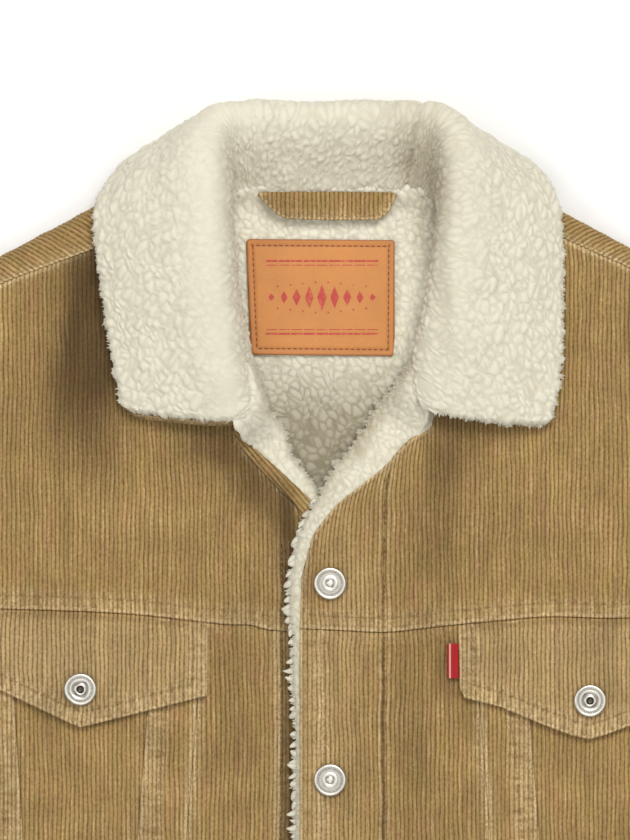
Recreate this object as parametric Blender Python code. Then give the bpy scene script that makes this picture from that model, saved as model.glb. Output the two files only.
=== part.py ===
"""Sherpa lined corduroy jacket, buttoned and laid flat on its back.

All named sizes are in millimetres. X runs across the jacket, Y towards the collar, Z up from the
surface that the jacket lies on. While the pieces are worked out, x = 0 is the centre front and
y = 0 the seam at the back of the neck; the finished pieces are moved so that the middle of the
jacket is the origin. Left and right are as seen from above, with the front up.
"""

from math import asin, ceil, cos, pi, sin, sqrt

import bpy
from mathutils import Vector
from mathutils.geometry import delaunay_2d_cdt

MM = 0.001
MIDDLE_Y = -295.4

# Walls. A body wall is corduroy with its pile lining, and two of them lie on each other.
GAP = 0.3
WALL = 8.3
BEND = WALL + GAP / 2  # outer radius of a folded edge, and height of the middle plane
CORDUROY = 2.0
SLEEVE_BEND = 6.2  # the same at the cuff seam, where the sleeve has a thin lining
CUFF_BEND = 7.0

# Body
BACK_LENGTH = 640.0
WAISTBAND_HEIGHT = 45.0
WAIST_SEAM = -(BACK_LENGTH - WAISTBAND_HEIGHT)
HEM = -BACK_LENGTH
NECK_POINT = {-1: (85.0, 17.0), 1: (85.0, 8.6)}
SHOULDER_TIP = {-1: (235.0, -62.0), 1: (235.0, -70.0)}
UNDERARM = (276.0, -290.0)
NECK_SEAM = [(66.0, -1.2), (40.0, -0.6), (0.0, -0.5)]  # half of the back neckline. columns: x, y
BACK_YOKE_SEAM = -165.0
BACK_YOKE_SEAM_AT_ARMHOLE = -161.0
BACK_SEAM_TOP = (104.0, -163.2)  # seam between the centre and side panels of the back
BACK_SEAM_FOOT = (62.0, WAIST_SEAM)
SIDE = [  # columns: y, half width of the body
    (-290.0, 274.2),
    (-400.0, 262.0),
    (-500.0, 252.0),
    (WAIST_SEAM, 247.0),
    (HEM, 246.0),
]
ARMHOLE_TOP = {-1: (228.6, -74.1), 1: (228.8, -80.5)}  # just below the shoulder tip
ARMHOLE = [  # the rest of it, down to the underarm. columns: x, y
    (219.5, -100.0),
    (213.5, -140.0),
    (214.0, -185.0),
    (223.5, -225.0),
    (242.0, -260.0),
    UNDERARM,
]
STRIP = {  # the back yoke's width on the front. columns: distance from the neck point, width
    -1: [(0.0, 27.7), (46.0, 21.6), (103.0, 14.0), (169.6, 9.2)],
    1: [(0.0, 14.5), (37.0, 12.8), (75.0, 10.4), (169.6, 9.2)],
}

# Front
OVERLAP_EDGE = 26.0  # how far the over front lies level on the under front
OVERLAP_END = 62.0  # where it has come down to the back again
OVERLAP_RISE = WALL + GAP
OVERLAP_STOPS = (0.01, 0.3, 0.6, 1.0)  # shares of the way down where the slope has points
UNDERLAP_EDGE = 24.0
UNDERLAP_TOP = -172.0
CHEST_SEAM = {  # columns: x, y, from the armhole to the front edge
    -1: [
        (-176.0, -215.3),
        (-110.5, -217.9),
        (-61.6, -223.0),
        (-46.0, -222.6),
        (-32.6, -226.6),
    ],
    1: [
        (152.0, -220.0),
        (111.0, -219.4),
        (80.0, -221.8),
        (42.0, -224.4),
        (OVERLAP_EDGE + 0.4, -227.6),
        (0.0, -226.2),
    ],
}
CHEST_SEAM_AT_ARMHOLE = -214.0
CHEST_SEAM_AT_EDGE = {-1: (UNDERLAP_EDGE, -228.5), 1: (-20.1, -225.4)}
NECK_EDGE = {  # the fronts' cut neckline under the collar. columns: x, y
    -1: [
        (-68.0, -22.0),
        (-66.0, -40.0),
        (-64.0, -60.0),
        (-61.5, -80.0),
        (-58.0, -100.0),
        (-55.0, -117.0),
    ],
    1: [
        (71.0, -20.0),
        (67.0, -35.0),
        (63.0, -52.0),
        (58.0, -74.0),
        (54.0, -92.0),
        (51.0, -108.0),
    ],
}
UNDER_EDGE = [  # cut edge of the under front below the collar. columns: x, y
    (-52.8, -127.2),
    (-44.7, -137.3),
    (-31.5, -151.0),
    (-21.6, -161.6),
    (-17.6, -168.5),
]
ROLL_EDGE = [  # where the rolled corduroy edge of the under front meets the pile. columns: x, y
    (-53.2, -121.0),
    (-49.7, -126.0),
    (-40.0, -134.4),
    (-31.6, -142.0),
    (-25.7, -147.4),
    (-18.6, -154.2),
    (-14.6, -158.4),
]
OVER_EDGE = [  # cut edge of the over front, from the collar down. columns: x, y
    (47.4, -120.9),
    (35.4, -129.3),
    (23.5, -141.2),
    (11.5, -150.8),
    (-0.4, -160.2),
    (-7.5, -168.5),
    (-13.5, -178.2),
    (-17.0, -190.2),
    (-19.5, -202.3),
    (-20.1, -225.4),
]
PILE_EDGE_UNDER = [  # inner edge of the under front's pile. columns: x, y
    (-39.0, -98.5),
    (-35.6, -111.8),
    (-28.5, -120.6),
    (-23.7, -135.7),
    (-17.0, -143.6),
    (-10.6, -153.0),
]
PILE_EDGE_OVER = [  # inner edge of the over front's pile, down to its edge. columns: x, y
    (26.5, -98.5),
    (21.0, -106.6),
    (13.8, -119.6),
    (5.5, -131.6),
    (-2.9, -141.2),
    (-7.5, -150.0),
    (-14.8, -162.8),
    (-18.5, -170.0),
    (-22.1, -180.4),
    (-23.6, -190.2),
    (-25.5, -200.7),
    (-26.0, -217.6),
    (-24.6, -230.7),
    (-24.3, -254.6),
    (-23.2, -273.7),
    (-23.0, -340.0),
    (-24.0, -420.0),
    (-23.2, -500.0),
    (-23.6, WAIST_SEAM),
]
SEAMS = {  # slanted seams below the chest. columns: x at the chest seam, x at the waist
    "inner": (69.5, 100.0),
    "inner_strip": (95.0, 125.0),
    "outer_strip": (172.0, 148.0),
    "outer": (199.0, 173.0),
}
OVERLAP_LINE_TOP = -226.0
STRIP_STEP = 0.9  # the strips are turned under, so they stand above the panels beside them

FLAP_THICKNESS = 3.6
FLAPS = {  # columns: x, y
    -1: [
        (-67.9, -224.0),
        (-198.0, -217.0),
        (-199.0, -246.5),
        (-176.0, -257.6),
        (-136.5, -275.8),
        (-131.0, -276.2),
        (-100.0, -268.4),
        (-68.2, -260.4),
    ],
    1: [
        (202.0, -221.0),
        (62.0, -224.0),
        (62.9, -240.0),
        (63.2, -257.0),
        (65.6, -261.6),
        (84.0, -266.2),
        (105.0, -275.0),
        (122.5, -281.2),
        (132.3, -282.9),
        (141.0, -280.4),
        (203.0, -257.0),
    ],
}

SOFT_FOLDS = [  # columns: x, y, turn of the ridge from +Y in degrees, half length, half width, height
    (-158.0, -120.0, -8.0, 90.0, 26.0, 4.5),
    (-112.0, -330.0, 6.0, 120.0, 24.0, 2.5),
    (-196.0, -420.0, 10.0, 130.0, 22.0, 4.0),
    (160.0, -130.0, 12.0, 85.0, 26.0, 4.0),
    (92.0, -160.0, -14.0, 60.0, 16.0, 3.0),
    (176.0, -400.0, -8.0, 130.0, 24.0, 4.0),
    (108.0, -480.0, 4.0, 90.0, 20.0, 2.5),
]

# Neck
LINING_LOW = CORDUROY + GAP
LINING = [  # the part of the back lining that the neck shows, and a little under the fronts
    (-64.0, -4.0),
    (-70.0, -40.0),
    (-64.0, -90.0),
    (-46.0, -132.0),
    (-24.0, -158.0),
    (8.0, -158.0),
    (38.0, -132.0),
    (58.0, -90.0),
    (66.0, -40.0),
    (60.0, -4.0),
]
COLLAR = [
    # columns: neck seam x, y, z, roll x, y, z, middle of the fall x, y, z, outer edge x, y, z
    (-41.0, -107.0, 24.5, -54.5, -117.5, 30.5, -86.0, -116.5, 27.5, -112.0, -113.0, 22.6),
    (-45.5, -86.0, 17.5, -58.0, -91.0, 37.0, -90.0, -90.0, 32.0, -116.0, -89.0, 22.2),
    (-53.0, -56.0, 13.5, -62.5, -56.0, 43.0, -95.0, -57.0, 35.5, -120.5, -57.0, 21.8),
    (-56.0, -24.0, 12.0, -65.5, -22.0, 46.0, -99.0, -24.0, 37.0, -125.0, -26.0, 21.4),
    (-57.5, -6.0, 11.5, -66.5, 8.0, 47.0, -100.0, 3.0, 36.0, -123.5, -4.0, 19.6),
    (-56.5, 0.6, 11.0, -66.0, 28.5, 44.0, -93.0, 20.5, 27.0, -108.5, 14.0, 6.0),
    (-52.0, 1.4, 10.8, -60.5, 38.0, 41.0, -76.0, 32.5, 21.0, -82.0, 29.5, 2.2),
    (-44.0, 1.2, 10.6, -47.0, 39.5, 38.5, -51.0, 40.5, 20.0, -52.0, 33.5, 1.6),
    (-24.0, 0.8, 10.5, -26.0, 38.5, 37.5, -27.0, 41.0, 19.0, -27.0, 32.5, 1.4),
    (0.0, 0.7, 10.5, 0.0, 38.5, 37.5, 0.0, 41.0, 19.0, 0.0, 32.5, 1.4),
    (22.0, 0.8, 10.5, 24.0, 38.5, 37.5, 26.0, 41.0, 19.0, 26.0, 32.5, 1.4),
    (36.0, 1.2, 10.6, 43.0, 39.5, 38.5, 49.0, 40.0, 20.0, 51.0, 32.5, 1.6),
    (44.0, 1.2, 10.8, 54.0, 36.5, 41.0, 66.5, 31.5, 21.0, 73.0, 28.0, 2.2),
    (50.0, 0.0, 11.0, 60.5, 22.5, 44.0, 84.5, 17.5, 27.0, 100.5, 12.0, 6.0),
    (54.0, -7.0, 11.5, 61.0, 1.0, 46.5, 90.0, -1.0, 35.5, 112.0, -3.0, 19.8),
    (54.5, -24.0, 12.0, 59.0, -20.0, 46.0, 91.0, -22.0, 36.5, 115.5, -24.0, 21.4),
    (49.0, -54.0, 13.5, 54.5, -54.0, 43.0, 88.0, -56.0, 35.5, 115.5, -58.0, 21.8),
    (40.5, -82.0, 17.5, 49.0, -85.0, 37.0, 86.0, -89.0, 32.0, 115.0, -91.0, 22.2),
    (38.0, -102.0, 24.5, 50.5, -112.5, 30.5, 83.0, -119.0, 27.5, 110.5, -120.5, 22.6),
]
COLLAR_PILE = 6.0
COLLAR_PILE_AT_SEAM = 3.0
CORDUROY_SHOWS = 1.6  # how far the under collar reaches past the pile
COLLAR_STEPS = 2  # sections between two rows of the table
COLLAR_ACROSS = 4  # points between two points of a section

# Sleeves
SLEEVE = [  # below the armhole. columns: outer fold x, y, inner fold x, y
    (315.0, -116.0, 280.0, -302.0),
    (392.0, -180.0, 298.0, -330.0),
    (462.0, -296.0, 340.0, -400.0),
    (510.0, -415.0, 392.0, -482.0),
    (545.0, -528.0, 438.0, -566.0),
]
CUFF_LENGTH = 55.0
CUFF_BUTTON_INSET = 22.0
UNDERARM_EASE = 1.5  # more room between sleeve and body where both folds meet
SHOULDER_EASE = 0.9
SLEEVE_STEPS = 15  # divisions along a sleeve
SLEEVE_ACROSS = 6  # divisions across it, between the folds
SLEEVE_FOLDS = [  # columns: along 0-1, across 0-1, length across, width along, height in mm
    (0.34, 0.72, 0.30, 0.030, 5.0),
    (0.47, 0.80, 0.26, 0.028, 6.0),
    (0.56, 0.70, 0.34, 0.026, 5.0),
    (0.66, 0.82, 0.22, 0.024, 4.0),
    (0.86, 0.35, 0.30, 0.026, 3.0),
]

# Trim
PATCH = [(-48.2, -22.5), (29.6, -23.1), (29.3, -83.6), (-45.7, -82.9)]
PATCH_THICKNESS = 1.4
PATCH_LIFT = 0.6
LOOP = [
    (-42.6, 0.6),
    (-37.0, -5.6),
    (-32.0, -10.2),
    (-26.8, -12.4),
    (-4.0, -13.0),
    (20.5, -12.7),
    (25.6, -9.6),
    (31.0, 0.4),
    (28.0, 1.6),
    (-6.0, 2.0),
    (-40.0, 1.7),
]
LOOP_LOW = 15.6
LOOP_THICKNESS = 2.4
TAB = [(56.9, -233.3), (61.6, -233.3), (61.6, -251.4), (56.9, -251.4)]
TAB_THICKNESS = 1.2
BUTTON_RADIUS = 8.5
BUTTON_PROFILE = [  # columns: radius as a share of the button's, height in mm
    (0.30, 0.0),
    (0.93, 0.7),
    (1.00, 1.6),
    (0.93, 2.5),
    (0.55, 2.9),
    (0.42, 2.2),
    (0.26, 2.2),
    (0.20, 3.0),
]
BUTTON_SIDES = 14
FRONT_BUTTON_X = -4.4
FIRST_BUTTON_Y = -201.8
BUTTON_SPACING = 102.0
FRONT_BUTTONS = 4
WAISTBAND_BUTTON_Y = -617.0
FLAP_BUTTONS = {-1: (-134.1, -256.9), 1: (130.7, -262.9)}

CORDUROY_COLOUR = (0.340, 0.214, 0.084)
PILE_COLOUR = (0.730, 0.665, 0.520)
LEATHER_COLOUR = (0.560, 0.205, 0.065)
TAB_COLOUR = (0.500, 0.020, 0.020)
METAL_COLOUR = (0.640, 0.600, 0.540)

SIDE_NAME = {-1: "left", 1: "right"}


def clamp(value, low, high):
    return max(low, min(high, value))


def smooth(value):
    value = clamp(value, 0.0, 1.0)
    return value * value * (3.0 - 2.0 * value)


def lookup(table, key):
    """Straight-line reading of a two-column table, whose first column runs either way."""
    rows = sorted(table)
    if key <= rows[0][0]:
        return rows[0][1]
    for (k0, v0), (k1, v1) in zip(rows, rows[1:]):
        if key <= k1:
            return v0 + (v1 - v0) * (key - k0) / (k1 - k0)
    return rows[-1][1]


def spline(rows, steps):
    """A smooth curve through rows of numbers, with steps points from each row to the next."""
    rows = [Vector(row) for row in rows]
    before = rows[0] * 2 - rows[1]
    after = rows[-1] * 2 - rows[-2]
    padded = [before] + rows + [after]
    curve = []
    for i in range(1, len(padded) - 2):
        p0, p1, p2, p3 = padded[i - 1 : i + 3]
        for k in range(steps):
            t = k / steps
            a = p1 * 2
            b = (p2 - p0) * t
            c = (p0 * 2 - p1 * 5 + p2 * 4 - p3) * t * t
            d = (p1 * 3 - p0 - p2 * 3 + p3) * t * t * t
            curve.append((a + b + c + d) * 0.5)
    curve.append(rows[-1])
    return curve


ARMHOLE_CURVE = {
    side: spline([SHOULDER_TIP[side], ARMHOLE_TOP[side]] + ARMHOLE, 4) for side in (-1, 1)
}


def armhole_x(side, y):
    """Distance of the armhole seam from the centre."""
    return lookup([(p.y, p.x) for p in ARMHOLE_CURVE[side]], y)


def armhole(side, y_from, y_to):
    """Points of the armhole seam from one height to another."""
    low, high = sorted((y_from, y_to))
    inside = [(p.x, p.y) for p in ARMHOLE_CURVE[side] if low + 2 < p.y < high - 2]
    if y_from < y_to:
        inside.reverse()
    line = [(armhole_x(side, y_from), y_from)] + inside + [(armhole_x(side, y_to), y_to)]
    return [(side * x, y) for x, y in line]


def side_x(y):
    return lookup(SIDE, y)


def side_unrolled(side, y):
    """Where the side seam lies once the folded edge is rolled out flat."""
    return (side * (side_x(y) - BEND + BEND * pi / 2), y)


def unroll(point):
    """A point of a top view, moved to where it is with the side fold rolled out."""
    x, y = point
    start = side_x(y) - BEND
    if abs(x) <= start:
        return point
    angle = asin(clamp((abs(x) - start) / BEND, 0.0, 1.0))
    return ((start + BEND * angle) * (1 if x > 0 else -1), y)


def side_fold(x, y, radius):
    """Place across and height over the middle plane of a wall's point at a side fold."""
    start = side_x(y) - BEND
    if y > UNDERARM[1] + 30 or abs(x) <= start:
        return x, radius
    angle = min((abs(x) - start) / BEND, pi / 2)
    return (start + radius * sin(angle)) * (1 if x > 0 else -1), radius * cos(angle)


def overlap_rise(x, y):
    """How much higher the over front lies than the under front beside it."""
    across = 1.0 - smooth((x - OVERLAP_EDGE) / (OVERLAP_END - OVERLAP_EDGE))
    return OVERLAP_RISE * across


def soft_folds(x, y):
    """Height of the soft ridges in the fronts; they die out towards the front and side edges."""
    total = 0.0
    for fold_x, fold_y, turn, half_length, half_width, height in SOFT_FOLDS:
        angle = turn * pi / 180
        along = (y - fold_y) * cos(angle) - (x - fold_x) * sin(angle)
        across = (x - fold_x) * cos(angle) + (y - fold_y) * sin(angle)
        ends = 1.0 - smooth(abs(along) / half_length)
        total += height * ends / (1.0 + (across / half_width) ** 4)
    from_front = smooth((abs(x) - 34.0) / 24.0)
    from_side = smooth((side_x(y) - BEND - abs(x)) / 26.0)
    from_armhole = smooth((armhole_x(1 if x > 0 else -1, y) - abs(x)) / 22.0)
    from_waist = smooth((y - WAIST_SEAM) / 40.0)
    from_shoulder = smooth((-34.0 - 0.25 * abs(x) - y) / 30.0)
    return total * from_front * from_side * from_armhole * from_waist * from_shoulder


def back_wall(low=0.0, high=WALL):
    """Walls of the back: the outside is down, level with the surface under it."""

    def surface(x, y):
        x_out, h_out = side_fold(x, y, BEND - low)
        x_in, h_in = side_fold(x, y, BEND - high)
        return (x_out, y, BEND - h_out), (x_in, y, BEND - h_in)

    return surface


def front_wall(over, step=0.0):
    """Walls of the fronts, with the outside up. over: the front that laps over the other."""

    def surface(x, y):
        lift = soft_folds(x, y) + (overlap_rise(x, y) if over else 0.0)
        x_out, h_out = side_fold(x, y, BEND)
        x_in, h_in = side_fold(x, y, BEND - WALL)
        return (x_out, y, BEND + h_out + lift + step), (x_in, y, BEND + h_in + lift)

    return surface


def laid_on(wall, low, high):
    """The surface of a piece that lies on a wall, from the wall's own outer points."""

    def surface(x, y):
        (x_out, y_out, z_out), _ = wall(x, y)
        return (x_out, y_out, z_out + high), (x_out, y_out, z_out + low)

    return surface


def area(outline):
    pairs = zip(outline, outline[1:] + outline[:1])
    return sum(a[0] * b[1] - b[0] * a[1] for a, b in pairs) / 2


def inset(outline, distance):
    """The outline, turned counter-clockwise and moved in by the same distance all round."""
    points = [Vector(p) for p in outline]
    if area(outline) < 0:
        points.reverse()
    moved = []
    for i, point in enumerate(points):
        before = (point - points[i - 1]).normalized()
        after = (points[(i + 1) % len(points)] - point).normalized()
        normal = Vector((-before.y - after.y, before.x + after.x))
        normal.normalize()
        reach = max(0.35, normal.dot(Vector((-before.y, before.x))))
        moved.append(point + normal * (distance / reach))
    return moved


def divided(points, spacing, closed):
    """The same line with extra points, so that none are further apart than the spacing."""
    points = [Vector(p) for p in points]
    ends = points[1:] + points[:1] if closed else points[1:]
    result = []
    for a, b in zip(points, ends):
        count = max(1, ceil((b - a).length / spacing))
        result += [a.lerp(b, k / count) for k in range(count)]
    if not closed:
        result.append(points[-1])
    return result


def is_inside(point, outline):
    found = False
    for a, b in zip(outline, outline[1:] + outline[:1]):
        if (a.y > point.y) != (b.y > point.y):
            crossing = a.x + (point.y - a.y) * (b.x - a.x) / (b.y - a.y)
            if point.x < crossing:
                found = not found
    return found


def triangles(outline, spacing, lines=()):
    """Flat points and triangles that fill an outline, with edges along the given lines."""
    border = divided(outline, spacing, True)
    points = list(border)
    edges = [(i, (i + 1) % len(border)) for i in range(len(border))]
    for line in lines:
        first = len(points)
        cut = divided(line, spacing, False)
        points += cut
        edges += [(first + i, first + i + 1) for i in range(len(cut) - 1)]
    fixed = list(points)
    left = min(p.x for p in border)
    low = min(p.y for p in border)
    columns = ceil((max(p.x for p in border) - left) / spacing)
    rows = ceil((max(p.y for p in border) - low) / (spacing * 0.87))
    for j in range(1, rows):
        for i in range(columns + 1):
            point = Vector((left + (i + 0.5 * (j % 2)) * spacing, low + j * spacing * 0.87))
            near = min((point - p).length for p in fixed)
            if near > 0.62 * spacing and is_inside(point, border):
                points.append(point)
    found = delaunay_2d_cdt(points, edges, [list(range(len(border)))], 1, 1e-4)
    return found[0], [tuple(face) for face in found[2]]


def signed_volume(points, faces):
    total = 0.0
    for face in faces:
        for i in range(1, len(face) - 1):
            a, b, c = points[face[0]], points[face[i]], points[face[i + 1]]
            total += a.dot(b.cross(c))
    return total


def add_object(name, points, faces, colour, roughness=0.9, metallic=0.0, smooth_angle=0.6):
    """One named solid with its own material; points in millimetres."""
    points = [Vector(p) for p in points]
    if signed_volume(points, faces) < 0:
        faces = [tuple(reversed(face)) for face in faces]
    mesh = bpy.data.meshes.new(name)
    moved = [(p.x * MM, (p.y - MIDDLE_Y) * MM, p.z * MM) for p in points]
    mesh.from_pydata(moved, [], faces)
    mesh.shade_smooth()
    mesh.set_sharp_from_angle(angle=smooth_angle)
    material = bpy.data.materials.new(name)
    material.use_nodes = True
    principled = material.node_tree.nodes["Principled BSDF"]
    principled.inputs["Base Color"].default_value = (*colour, 1.0)
    principled.inputs["Roughness"].default_value = roughness
    principled.inputs["Metallic"].default_value = metallic
    mesh.materials.append(material)
    obj = bpy.data.objects.new(name, mesh)
    bpy.context.collection.objects.link(obj)
    return obj


def add_wall(name, outer, inner, faces, colour, **finish):
    """A closed wall from outer and inner points that share their triangles."""
    count = len(outer)
    open_edges = {}
    for face in faces:
        for a, b in zip(face, face[1:] + face[:1]):
            if (b, a) in open_edges:
                del open_edges[(b, a)]
            else:
                open_edges[(a, b)] = True
    solid = [tuple(face) for face in faces]
    solid += [tuple(i + count for i in reversed(face)) for face in faces]
    for a, b in open_edges:
        solid.append((b, a, a + count))
        solid.append((b, a + count, b + count))
    add_object(name, list(outer) + list(inner), solid, colour, **finish)


def add_panel(name, outline, surface, colour=CORDUROY_COLOUR, spacing=26.0, lines=(), **finish):
    """A piece cut to a flat outline and laid along a surface of outer and inner points."""
    flat, faces = triangles(inset(outline, GAP / 2), spacing, lines)
    pairs = [surface(p.x, p.y) for p in flat]
    outer = [pair[0] for pair in pairs]
    inner = [pair[1] for pair in pairs]
    add_wall(name, outer, inner, faces, colour, **finish)


def seam_x(name, y):
    """Place of a slanted seam, straight from the chest seam to the waist."""
    top, bottom = SEAMS[name]
    share = (y - CHEST_SEAM_AT_ARMHOLE) / (WAIST_SEAM - CHEST_SEAM_AT_ARMHOLE)
    return top + (bottom - top) * share


def chest_seam(side):
    """The chest seam from the armhole to the front edge."""
    start = (side * armhole_x(side, CHEST_SEAM_AT_ARMHOLE), CHEST_SEAM_AT_ARMHOLE)
    return [start] + CHEST_SEAM[side] + [CHEST_SEAM_AT_EDGE[side]]


def on_chest_seam(side, x):
    return (x, lookup(chest_seam(side), x))


def chest_seam_between(side, x_from, x_to):
    """Points of the chest seam from one place across to another."""
    low, high = sorted((x_from, x_to))
    inside = sorted(p for p in chest_seam(side) if low + 1 < p[0] < high - 1)
    if x_from > x_to:
        inside.reverse()
    return [on_chest_seam(side, x_from)] + inside + [on_chest_seam(side, x_to)]


def seam_on_chest(name, side):
    """Where a slanted seam starts at the chest seam."""
    x = side * seam_x(name, CHEST_SEAM_AT_ARMHOLE)
    y = on_chest_seam(side, x)[1]
    return side * seam_x(name, y)


def side_fold_lines(side, y_top, y_bottom):
    """Lines along a folded side, so that its bend is round."""
    lines = []
    for share in (0.0, 1 / 3, 2 / 3):
        ys = [y_top - 8.0, y_top - 60.0, (y_top + y_bottom) / 2, y_bottom + 8.0]
        if y_top - y_bottom < 80:
            ys = [y_top - 6.0, y_bottom + 6.0]
        line = []
        for y in ys:
            line.append((side * (side_x(y) - BEND + share * BEND * pi / 2), y))
        lines.append(line)
    return lines


def rise_stops(over):
    """Places across where the over front's slope needs points."""
    if not over:
        return []
    return [OVERLAP_EDGE + (OVERLAP_END - OVERLAP_EDGE) * share for share in OVERLAP_STOPS]


def overlap_lines(over, y_top, y_bottom):
    """Lines along the over front, where it comes down off the under front."""
    return [[(x, y_top - 5.0), (x, y_bottom + 5.0)] for x in rise_stops(over)]


def shoulder_axes(side):
    """Neck point, direction along the shoulder fold and direction out of the body."""
    start = Vector((side * NECK_POINT[side][0], NECK_POINT[side][1]))
    end = Vector((side * SHOULDER_TIP[side][0], SHOULDER_TIP[side][1]))
    along = (end - start).normalized()
    out = Vector((-side * along.y, side * along.x))
    return start, along, out, (end - start).length


def strip_seam(side):
    """The seam where the back yoke ends on the front, from the neck to the armhole."""
    start, along, out, length = shoulder_axes(side)
    rows = [(u, w) for u, w in STRIP[side] if u < length] + [(length, STRIP[side][-1][1])]
    return [tuple(start + along * u - out * w) for u, w in rows]


def make_back_yoke():
    """One piece over both shoulders. Its outline is drawn with the shoulder folds rolled out."""
    outline = [(0.0, BACK_YOKE_SEAM)]
    for side in (1, -1):
        start, along, out, length = shoulder_axes(side)
        half = armhole(side, BACK_YOKE_SEAM_AT_ARMHOLE, ARMHOLE_TOP[side][1])
        half.append(tuple(start + along * length - out * BEND))
        for u, width in reversed(STRIP[side]):
            past_fold = pi * BEND + width - 2 * BEND
            half.append(tuple(start + along * min(u, length) + out * past_fold))
        half.append(tuple(start - out * BEND))
        half += [(side * x, y) for x, y in NECK_SEAM[:-1]]
        if side == 1:
            outline += half + NECK_SEAM[-1:]
        else:
            outline += reversed(half)

    well = inset(LINING, -0.6)
    well_edge = inset(LINING, -0.8)
    rim = inset(LINING, -1.2)

    def folded(point, radius):
        """Place and height over the middle plane, after folding at the shoulder."""
        side = 1 if point.x > 0 else -1
        start, along, out, _ = shoulder_axes(side)
        u = (point - start).dot(along)
        v = (point - start).dot(out)
        if v <= -BEND or u < -20.0:
            return point.x, point.y, -radius
        angle = min((v + BEND) / BEND, pi)
        past = max(0.0, v + BEND - pi * BEND)
        place = start + along * u + out * (-BEND + radius * sin(angle) - past)
        return place.x, place.y, -radius * cos(angle)

    def surface(x, y):
        point = Vector((x, y))
        inner_radius = BEND - CORDUROY if is_inside(point, well_edge) else BEND - WALL
        x_out, y_out, h_out = folded(point, BEND)
        x_in, y_in, h_in = folded(point, inner_radius)
        return (x_out, y_out, BEND + h_out), (x_in, y_in, BEND + h_in)

    lines = [well + well[:1], rim + rim[:1]]
    for side in (1, -1):
        start, along, out, length = shoulder_axes(side)
        for part in range(7):
            v = -BEND + BEND * pi * part / 6
            lines.append([start + along * 3.0 + out * v, start + along * (length - 4.0) + out * v])
    add_panel("back_yoke", outline, surface, spacing=30.0, lines=lines)


def make_back():
    """Centre and side panels of the back and the back of the waistband."""
    top, foot = Vector(BACK_SEAM_TOP), Vector(BACK_SEAM_FOOT)
    centre = [(0.0, BACK_YOKE_SEAM), top, foot, (-foot.x, foot.y), (-top.x, top.y)]
    add_panel("back_centre", centre, back_wall(), spacing=48.0)
    for side in (1, -1):
        outline = [(side * top.x, top.y)]
        outline += [unroll(p) for p in armhole(side, BACK_YOKE_SEAM_AT_ARMHOLE, UNDERARM[1])]
        outline += [side_unrolled(side, y) for y, _ in SIDE[1:4]]
        outline.append((side * foot.x, foot.y))
        lines = side_fold_lines(side, UNDERARM[1], WAIST_SEAM)
        name = "back_side_" + SIDE_NAME[side]
        add_panel(name, outline, back_wall(), spacing=42.0, lines=lines)
    band = [side_unrolled(1, WAIST_SEAM), side_unrolled(1, HEM)]
    band += [side_unrolled(-1, HEM), side_unrolled(-1, WAIST_SEAM)]
    lines = side_fold_lines(1, WAIST_SEAM, HEM) + side_fold_lines(-1, WAIST_SEAM, HEM)
    add_panel("waistband_back", band, back_wall(), spacing=46.0, lines=lines)


def make_front_yoke(side):
    """From the shoulder seam and the neckline to the chest seam."""
    seam = strip_seam(side)
    tip_y = seam[-1][1]
    outline = list(seam[:-1])
    outline += armhole(side, tip_y, CHEST_SEAM_AT_ARMHOLE)
    outline += chest_seam(side)[1:]
    if side == -1:
        outline.append((UNDERLAP_EDGE, UNDERLAP_TOP))
        outline += UNDER_EDGE[::-1]
    else:
        outline += OVER_EDGE[-2::-1]
    outline += NECK_EDGE[side][::-1]
    lines = overlap_lines(side == 1, -168.0, OVERLAP_LINE_TOP + 4.0)
    name = "front_yoke_" + SIDE_NAME[side]
    add_panel(name, outline, front_wall(side == 1), spacing=22.0, lines=lines)


def make_front_panels(side):
    """The panels between the chest seam and the waist, from the front edge to the side."""
    over = side == 1
    wall = front_wall(over)
    strip_wall = front_wall(over, STRIP_STEP)
    edge_x = CHEST_SEAM_AT_EDGE[side][0]
    names = ["inner", "inner_strip", "outer_strip", "outer"]
    tops = [edge_x] + [seam_on_chest(n, side) for n in names]
    feet = [edge_x] + [side * seam_x(n, WAIST_SEAM) for n in names]
    pieces = ["front_centre", "strip_inner", "pocket_panel", "strip_outer"]
    for i, piece in enumerate(pieces):
        outline = chest_seam_between(side, tops[i], tops[i + 1])
        outline.append((feet[i + 1], WAIST_SEAM))
        outline += [(x, WAIST_SEAM) for x in rise_stops(over and i == 0)[::-1]]
        outline.append((feet[i], WAIST_SEAM))
        surface = strip_wall if piece.startswith("strip") else wall
        lines = overlap_lines(over and i == 0, OVERLAP_LINE_TOP, WAIST_SEAM)
        add_panel(piece + "_" + SIDE_NAME[side], outline, surface, spacing=28.0, lines=lines)
    armhole_end = side * armhole_x(side, CHEST_SEAM_AT_ARMHOLE)
    outline = chest_seam_between(side, tops[4], armhole_end)[:-1]
    outline += [unroll(p) for p in armhole(side, CHEST_SEAM_AT_ARMHOLE, UNDERARM[1])]
    outline += [side_unrolled(side, y) for y, _ in SIDE[1:4]]
    outline.append((feet[4], WAIST_SEAM))
    lines = side_fold_lines(side, UNDERARM[1], WAIST_SEAM)
    add_panel("front_side_" + SIDE_NAME[side], outline, wall, spacing=28.0, lines=lines)
    band = [side_unrolled(side, WAIST_SEAM), side_unrolled(side, HEM)]
    band += [(x, HEM) for x in rise_stops(over)[::-1]] + [(edge_x, HEM), (edge_x, WAIST_SEAM)]
    band += [(x, WAIST_SEAM) for x in rise_stops(over)]
    lines = side_fold_lines(side, WAIST_SEAM, HEM) + overlap_lines(over, WAIST_SEAM, HEM)
    add_panel("waistband_" + SIDE_NAME[side], band, wall, spacing=30.0, lines=lines)


def distance_to_line(point, line):
    best = 1e9
    for a, b in zip(line, line[1:]):
        a, b = Vector(a), Vector(b)
        share = clamp((point - a).dot(b - a) / (b - a).length_squared, 0.0, 1.0)
        best = min(best, (a.lerp(b, share) - point).length)
    return best


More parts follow.
